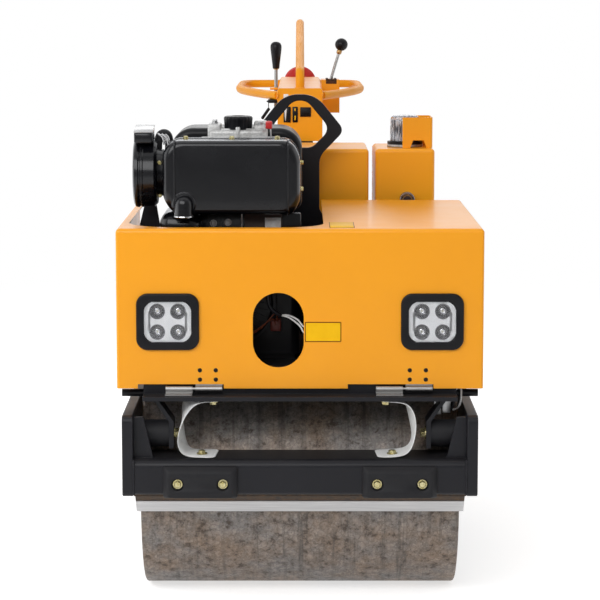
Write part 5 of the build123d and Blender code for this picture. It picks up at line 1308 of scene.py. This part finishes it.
ridden("gate_liner", [rounded_box((0.0615, liner_front, liner_foot), (0.0675, 0.416, liner_top), 0.001, 2),
                      rounded_box((0.0812, liner_front, liner_foot), (0.0872, 0.416, liner_top), 0.001, 2),
                      rounded_box((0.066, liner_front, liner_foot), (0.0828, 0.347, 0.949), 0.001, 2),
                      rounded_box((0.0672, 0.3504, 0.9338), (0.0848, 0.4156, 0.935), 0.0003, 1)],
       brush_brown, "arm")

# ---- handle loop ---------------------------------------------------------------------------------
# One 20 mm bar on each side of the head, bent out from its front, straight along the side and round
# behind, welded to the head at both ends.
tube_orange = painted("orange tube paint", (0.93, 0.36, 0.006), (0.89, 0.34, 0.005), (0.8, 0.42, 0.12), 0.5,
                      peel=0.06, Specular_IOR_Level=0.2)
coat(tube_orange, "bow_tube")
loop_half = [(0.05, 0.19), (0.068, 0.228), (0.098, 0.322), (0.127, 0.44), (0.144, 0.54), (0.15, 0.63),
             (0.1503, 0.7), (0.1503, 0.79), (0.15, 0.868), (0.1465, 0.912), (0.133, 0.94), (0.108, 0.952),
             (0.08, 0.953), (0.05, 0.953)]
loop_level, bar_radius = 0.917, 0.01
loop_runs = [[(side * x, y, loop_level) for x, y in loop_half] for side in (-1, 1)]
loops = along("loop_bars", tubes, loop_runs, "arm", tube_orange, Radius=bar_radius, Sides=28, Step=0.006)
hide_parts("handle_loop")

# ---- arm welds and pin ---------------------------------------------------------------------------
# The bars are welded to the head all round and sprayed with it. The pivot pin is greased through a
# nipple at each end, and a bellows keeps dirt out of the stop button.
head_half = 0.052
oval = [(2 * bar_radius * math.cos(a), bar_radius * math.sin(a))
        for a in [math.radians(d) for d in range(0, 361, 10)]]
arm_rings = [ring((0, y, 0.9345), (0, 0, 1), bar_radius, 36) for y in (0.198, 0.938)]
for side in (-1, 1):
    arm_rings.append(ring((side * head_half, 0.953, loop_level), (1, 0, 0), bar_radius, 36))
    arm_rings.append([(side * head_half, 0.1945 + y, loop_level + z) for y, z in oval])
along("arm_welds", beads, arm_rings, "arm", orange, Radius=0.002, Pitch=0.0024, Seed=6)

nipple = capped((-0.001, 0.0042), (0.002, 0.0042), (0.002, 0.0028), (0.0036, 0.0024), (0.005, 0.0032),
                (0.0066, 0.002))
ridden("pin_nipples", [turned(nipple, (end.x, 0.138, 0.775), (way, 0, 0), 16)
                       for end, way in zip(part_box("pivot_pin"), (-1, 1))], brass, "chassis")

bellows = [(0, 0), (0, 0.017), (0.004, 0.017)]
for fold in (0.006, 0.012, 0.018):
    bellows += [(fold, 0.014), (fold + 0.003, 0.0168)]
bellows += [(0.025, 0.015), (0.025, 0)]
ridden("stop_bellows", [turned(bellows, (0, 0.978, 0.907), (0, 1, 0), 40, sharp=60)], rubber, "arm")

# ---- hoses and wiring ----------------------------------------------------------------------------
# Rubber hoses with crimped ends join the pump to the oil tank and the water tank to the spray pipes.
# Each is fixed at both ends. Two white wires run behind the hood's front to the right lamp.


def crimped(name, radius, *run):
    """A hose along a run of points, with a plated ferrule and nut at each end."""
    along(name, tubes, [[*run]], "chassis", rubber, Radius=radius, Sides=18, Step=0.004)
    nut, shank, waist = radius * 1.45, radius * 1.22, radius * 1.1
    crimp = capped((-0.001, nut), (0.009, nut), (0.009, waist), (0.0105, shank), (0.024, shank),
                   (0.0255, radius * 1.02))
    ends = [turned(crimp, here, Vector(inner) - Vector(here), 24) for here, inner in (run[:2], run[:-3:-1])]
    ridden(name + "_ends", ends, grey_zinc, "chassis")


crimped("pump_hose", 0.009, (0.15, -0.632, 0.585), (0.185, -0.632, 0.588), (0.225, -0.6, 0.58),
        (0.235, -0.52, 0.545), (0.232, -0.4, 0.52), (0.23, -0.31, 0.51), (0.23, -0.252, 0.508))
crimped("return_hose", 0.008, (0.15, -0.632, 0.535), (0.18, -0.632, 0.53), (0.2, -0.6, 0.515),
        (0.2, -0.5, 0.49), (0.19, -0.4, 0.482), (0.185, -0.31, 0.484), (0.185, -0.252, 0.484))
crimped("spray_hose", 0.006, (-0.1, -0.252, 0.474), (-0.12, -0.29, 0.47), (-0.2, -0.36, 0.464),
        (-0.275, -0.43, 0.462), (-0.284, -0.6, 0.462), (-0.284, -0.8, 0.462), (-0.278, -0.868, 0.456))
crimped("spray_drop", 0.004, (0.2905, -0.8905, 0.42), (0.289, -0.893, 0.395), (0.283, -0.898, 0.376),
        (0.274, -0.9, 0.372), (0.266, -0.902, 0.383), (0.26, -0.902, 0.406), (0.254, -0.902, 0.43))
ridden("spray_clamp", [rounded_box((0.2505, -0.911, 0.367), (0.264, -0.908, 0.408), 0.0008, 2),
                       rounded_box((0.2665, -0.911, 0.37), (0.2815, -0.908, 0.408), 0.0008, 2),
                       rounded_box((0.2505, -0.9085, 0.386), (0.2815, -0.9055, 0.408), 0.0008, 2)],
       grey_zinc, "chassis")
crimped("fuel_line", 0.0035, (-0.03, -0.5, 0.722), (-0.03, -0.52, 0.7), (-0.035, -0.56, 0.7),
        (-0.042, -0.585, 0.73), (-0.05, -0.6, 0.76))

wire_white = mottled("white wire", (90, 4, 0.6), (0.82, 0.82, 0.82), (0.55, 0.52, 0.48), (0.45, 0.75),
                     Roughness=0.45)
wire_copper = mottled("brown wire", (90, 4, 0.6), (0.16, 0.035, 0.015), (0.24, 0.06, 0.02), Roughness=0.5)
relay_red = mottled("dark red relay", (90, 4, 0.6), (0.1, 0.012, 0.006), (0.16, 0.02, 0.01), Roughness=0.45)
sheath_end = (-0.036, -0.892, 0.5515)
sheath_run = [(-0.06, -0.944, 0.69), (-0.06, -0.938, 0.66), (-0.0605, -0.925, 0.61), (-0.056, -0.905, 0.57),
              sheath_end]
along("lamp_wire_sheath", tubes, [sheath_run], "hood", black_plastic, Radius=0.004)
ridden("sheath_clip", [rounded_box((-0.069, -0.9495, 0.664), (-0.051, -0.932, 0.676), 0.002, 2)],
       black_plastic, "hood")
white_runs = [[sheath_end, (-0.022, -0.888, 0.551), (-0.004, -0.892, 0.543), (0.012, -0.9, 0.528),
               (0.06, -0.908, 0.512), (0.14, -0.905, 0.51), (0.205, -0.905, 0.53), (0.236, -0.915, 0.545)],
              [sheath_end, (-0.02, -0.892, 0.547), (0.0, -0.896, 0.532), (0.012, -0.902, 0.517),
               (0.06, -0.908, 0.503), (0.14, -0.905, 0.502), (0.208, -0.905, 0.522),
               (0.244, -0.915, 0.538)]]
spray_run = [(0.3015, -0.9, 0.418), (0.302, -0.901, 0.405), (0.301, -0.901, 0.39), (0.296, -0.9, 0.378),
             (0.286, -0.899, 0.374)]
brown_runs = [[(-0.046, -0.814, 0.52), (-0.05, -0.822, 0.535), (-0.062, -0.828, 0.53),
               (-0.086, -0.824, 0.512), (-0.11, -0.81, 0.5)],
              [(-0.042, -0.814, 0.524), (-0.046, -0.824, 0.546), (-0.056, -0.83, 0.538),
               (-0.076, -0.826, 0.516), (-0.11, -0.81, 0.494)]]
along("spray_wire", tubes, [spray_run], "chassis", wire_white, Radius=0.0018, Sides=10)
along("lamp_wires", tubes, white_runs, "hood", wire_white, Radius=0.0016, Sides=10)
along("earth_wires", tubes, brown_runs, "chassis", wire_copper, Radius=0.0012, Sides=8)
ridden("relay", [rounded_box((-0.056, -0.816, 0.51), (-0.036, -0.781, 0.531), 0.002, 2)], relay_red,
       "chassis")
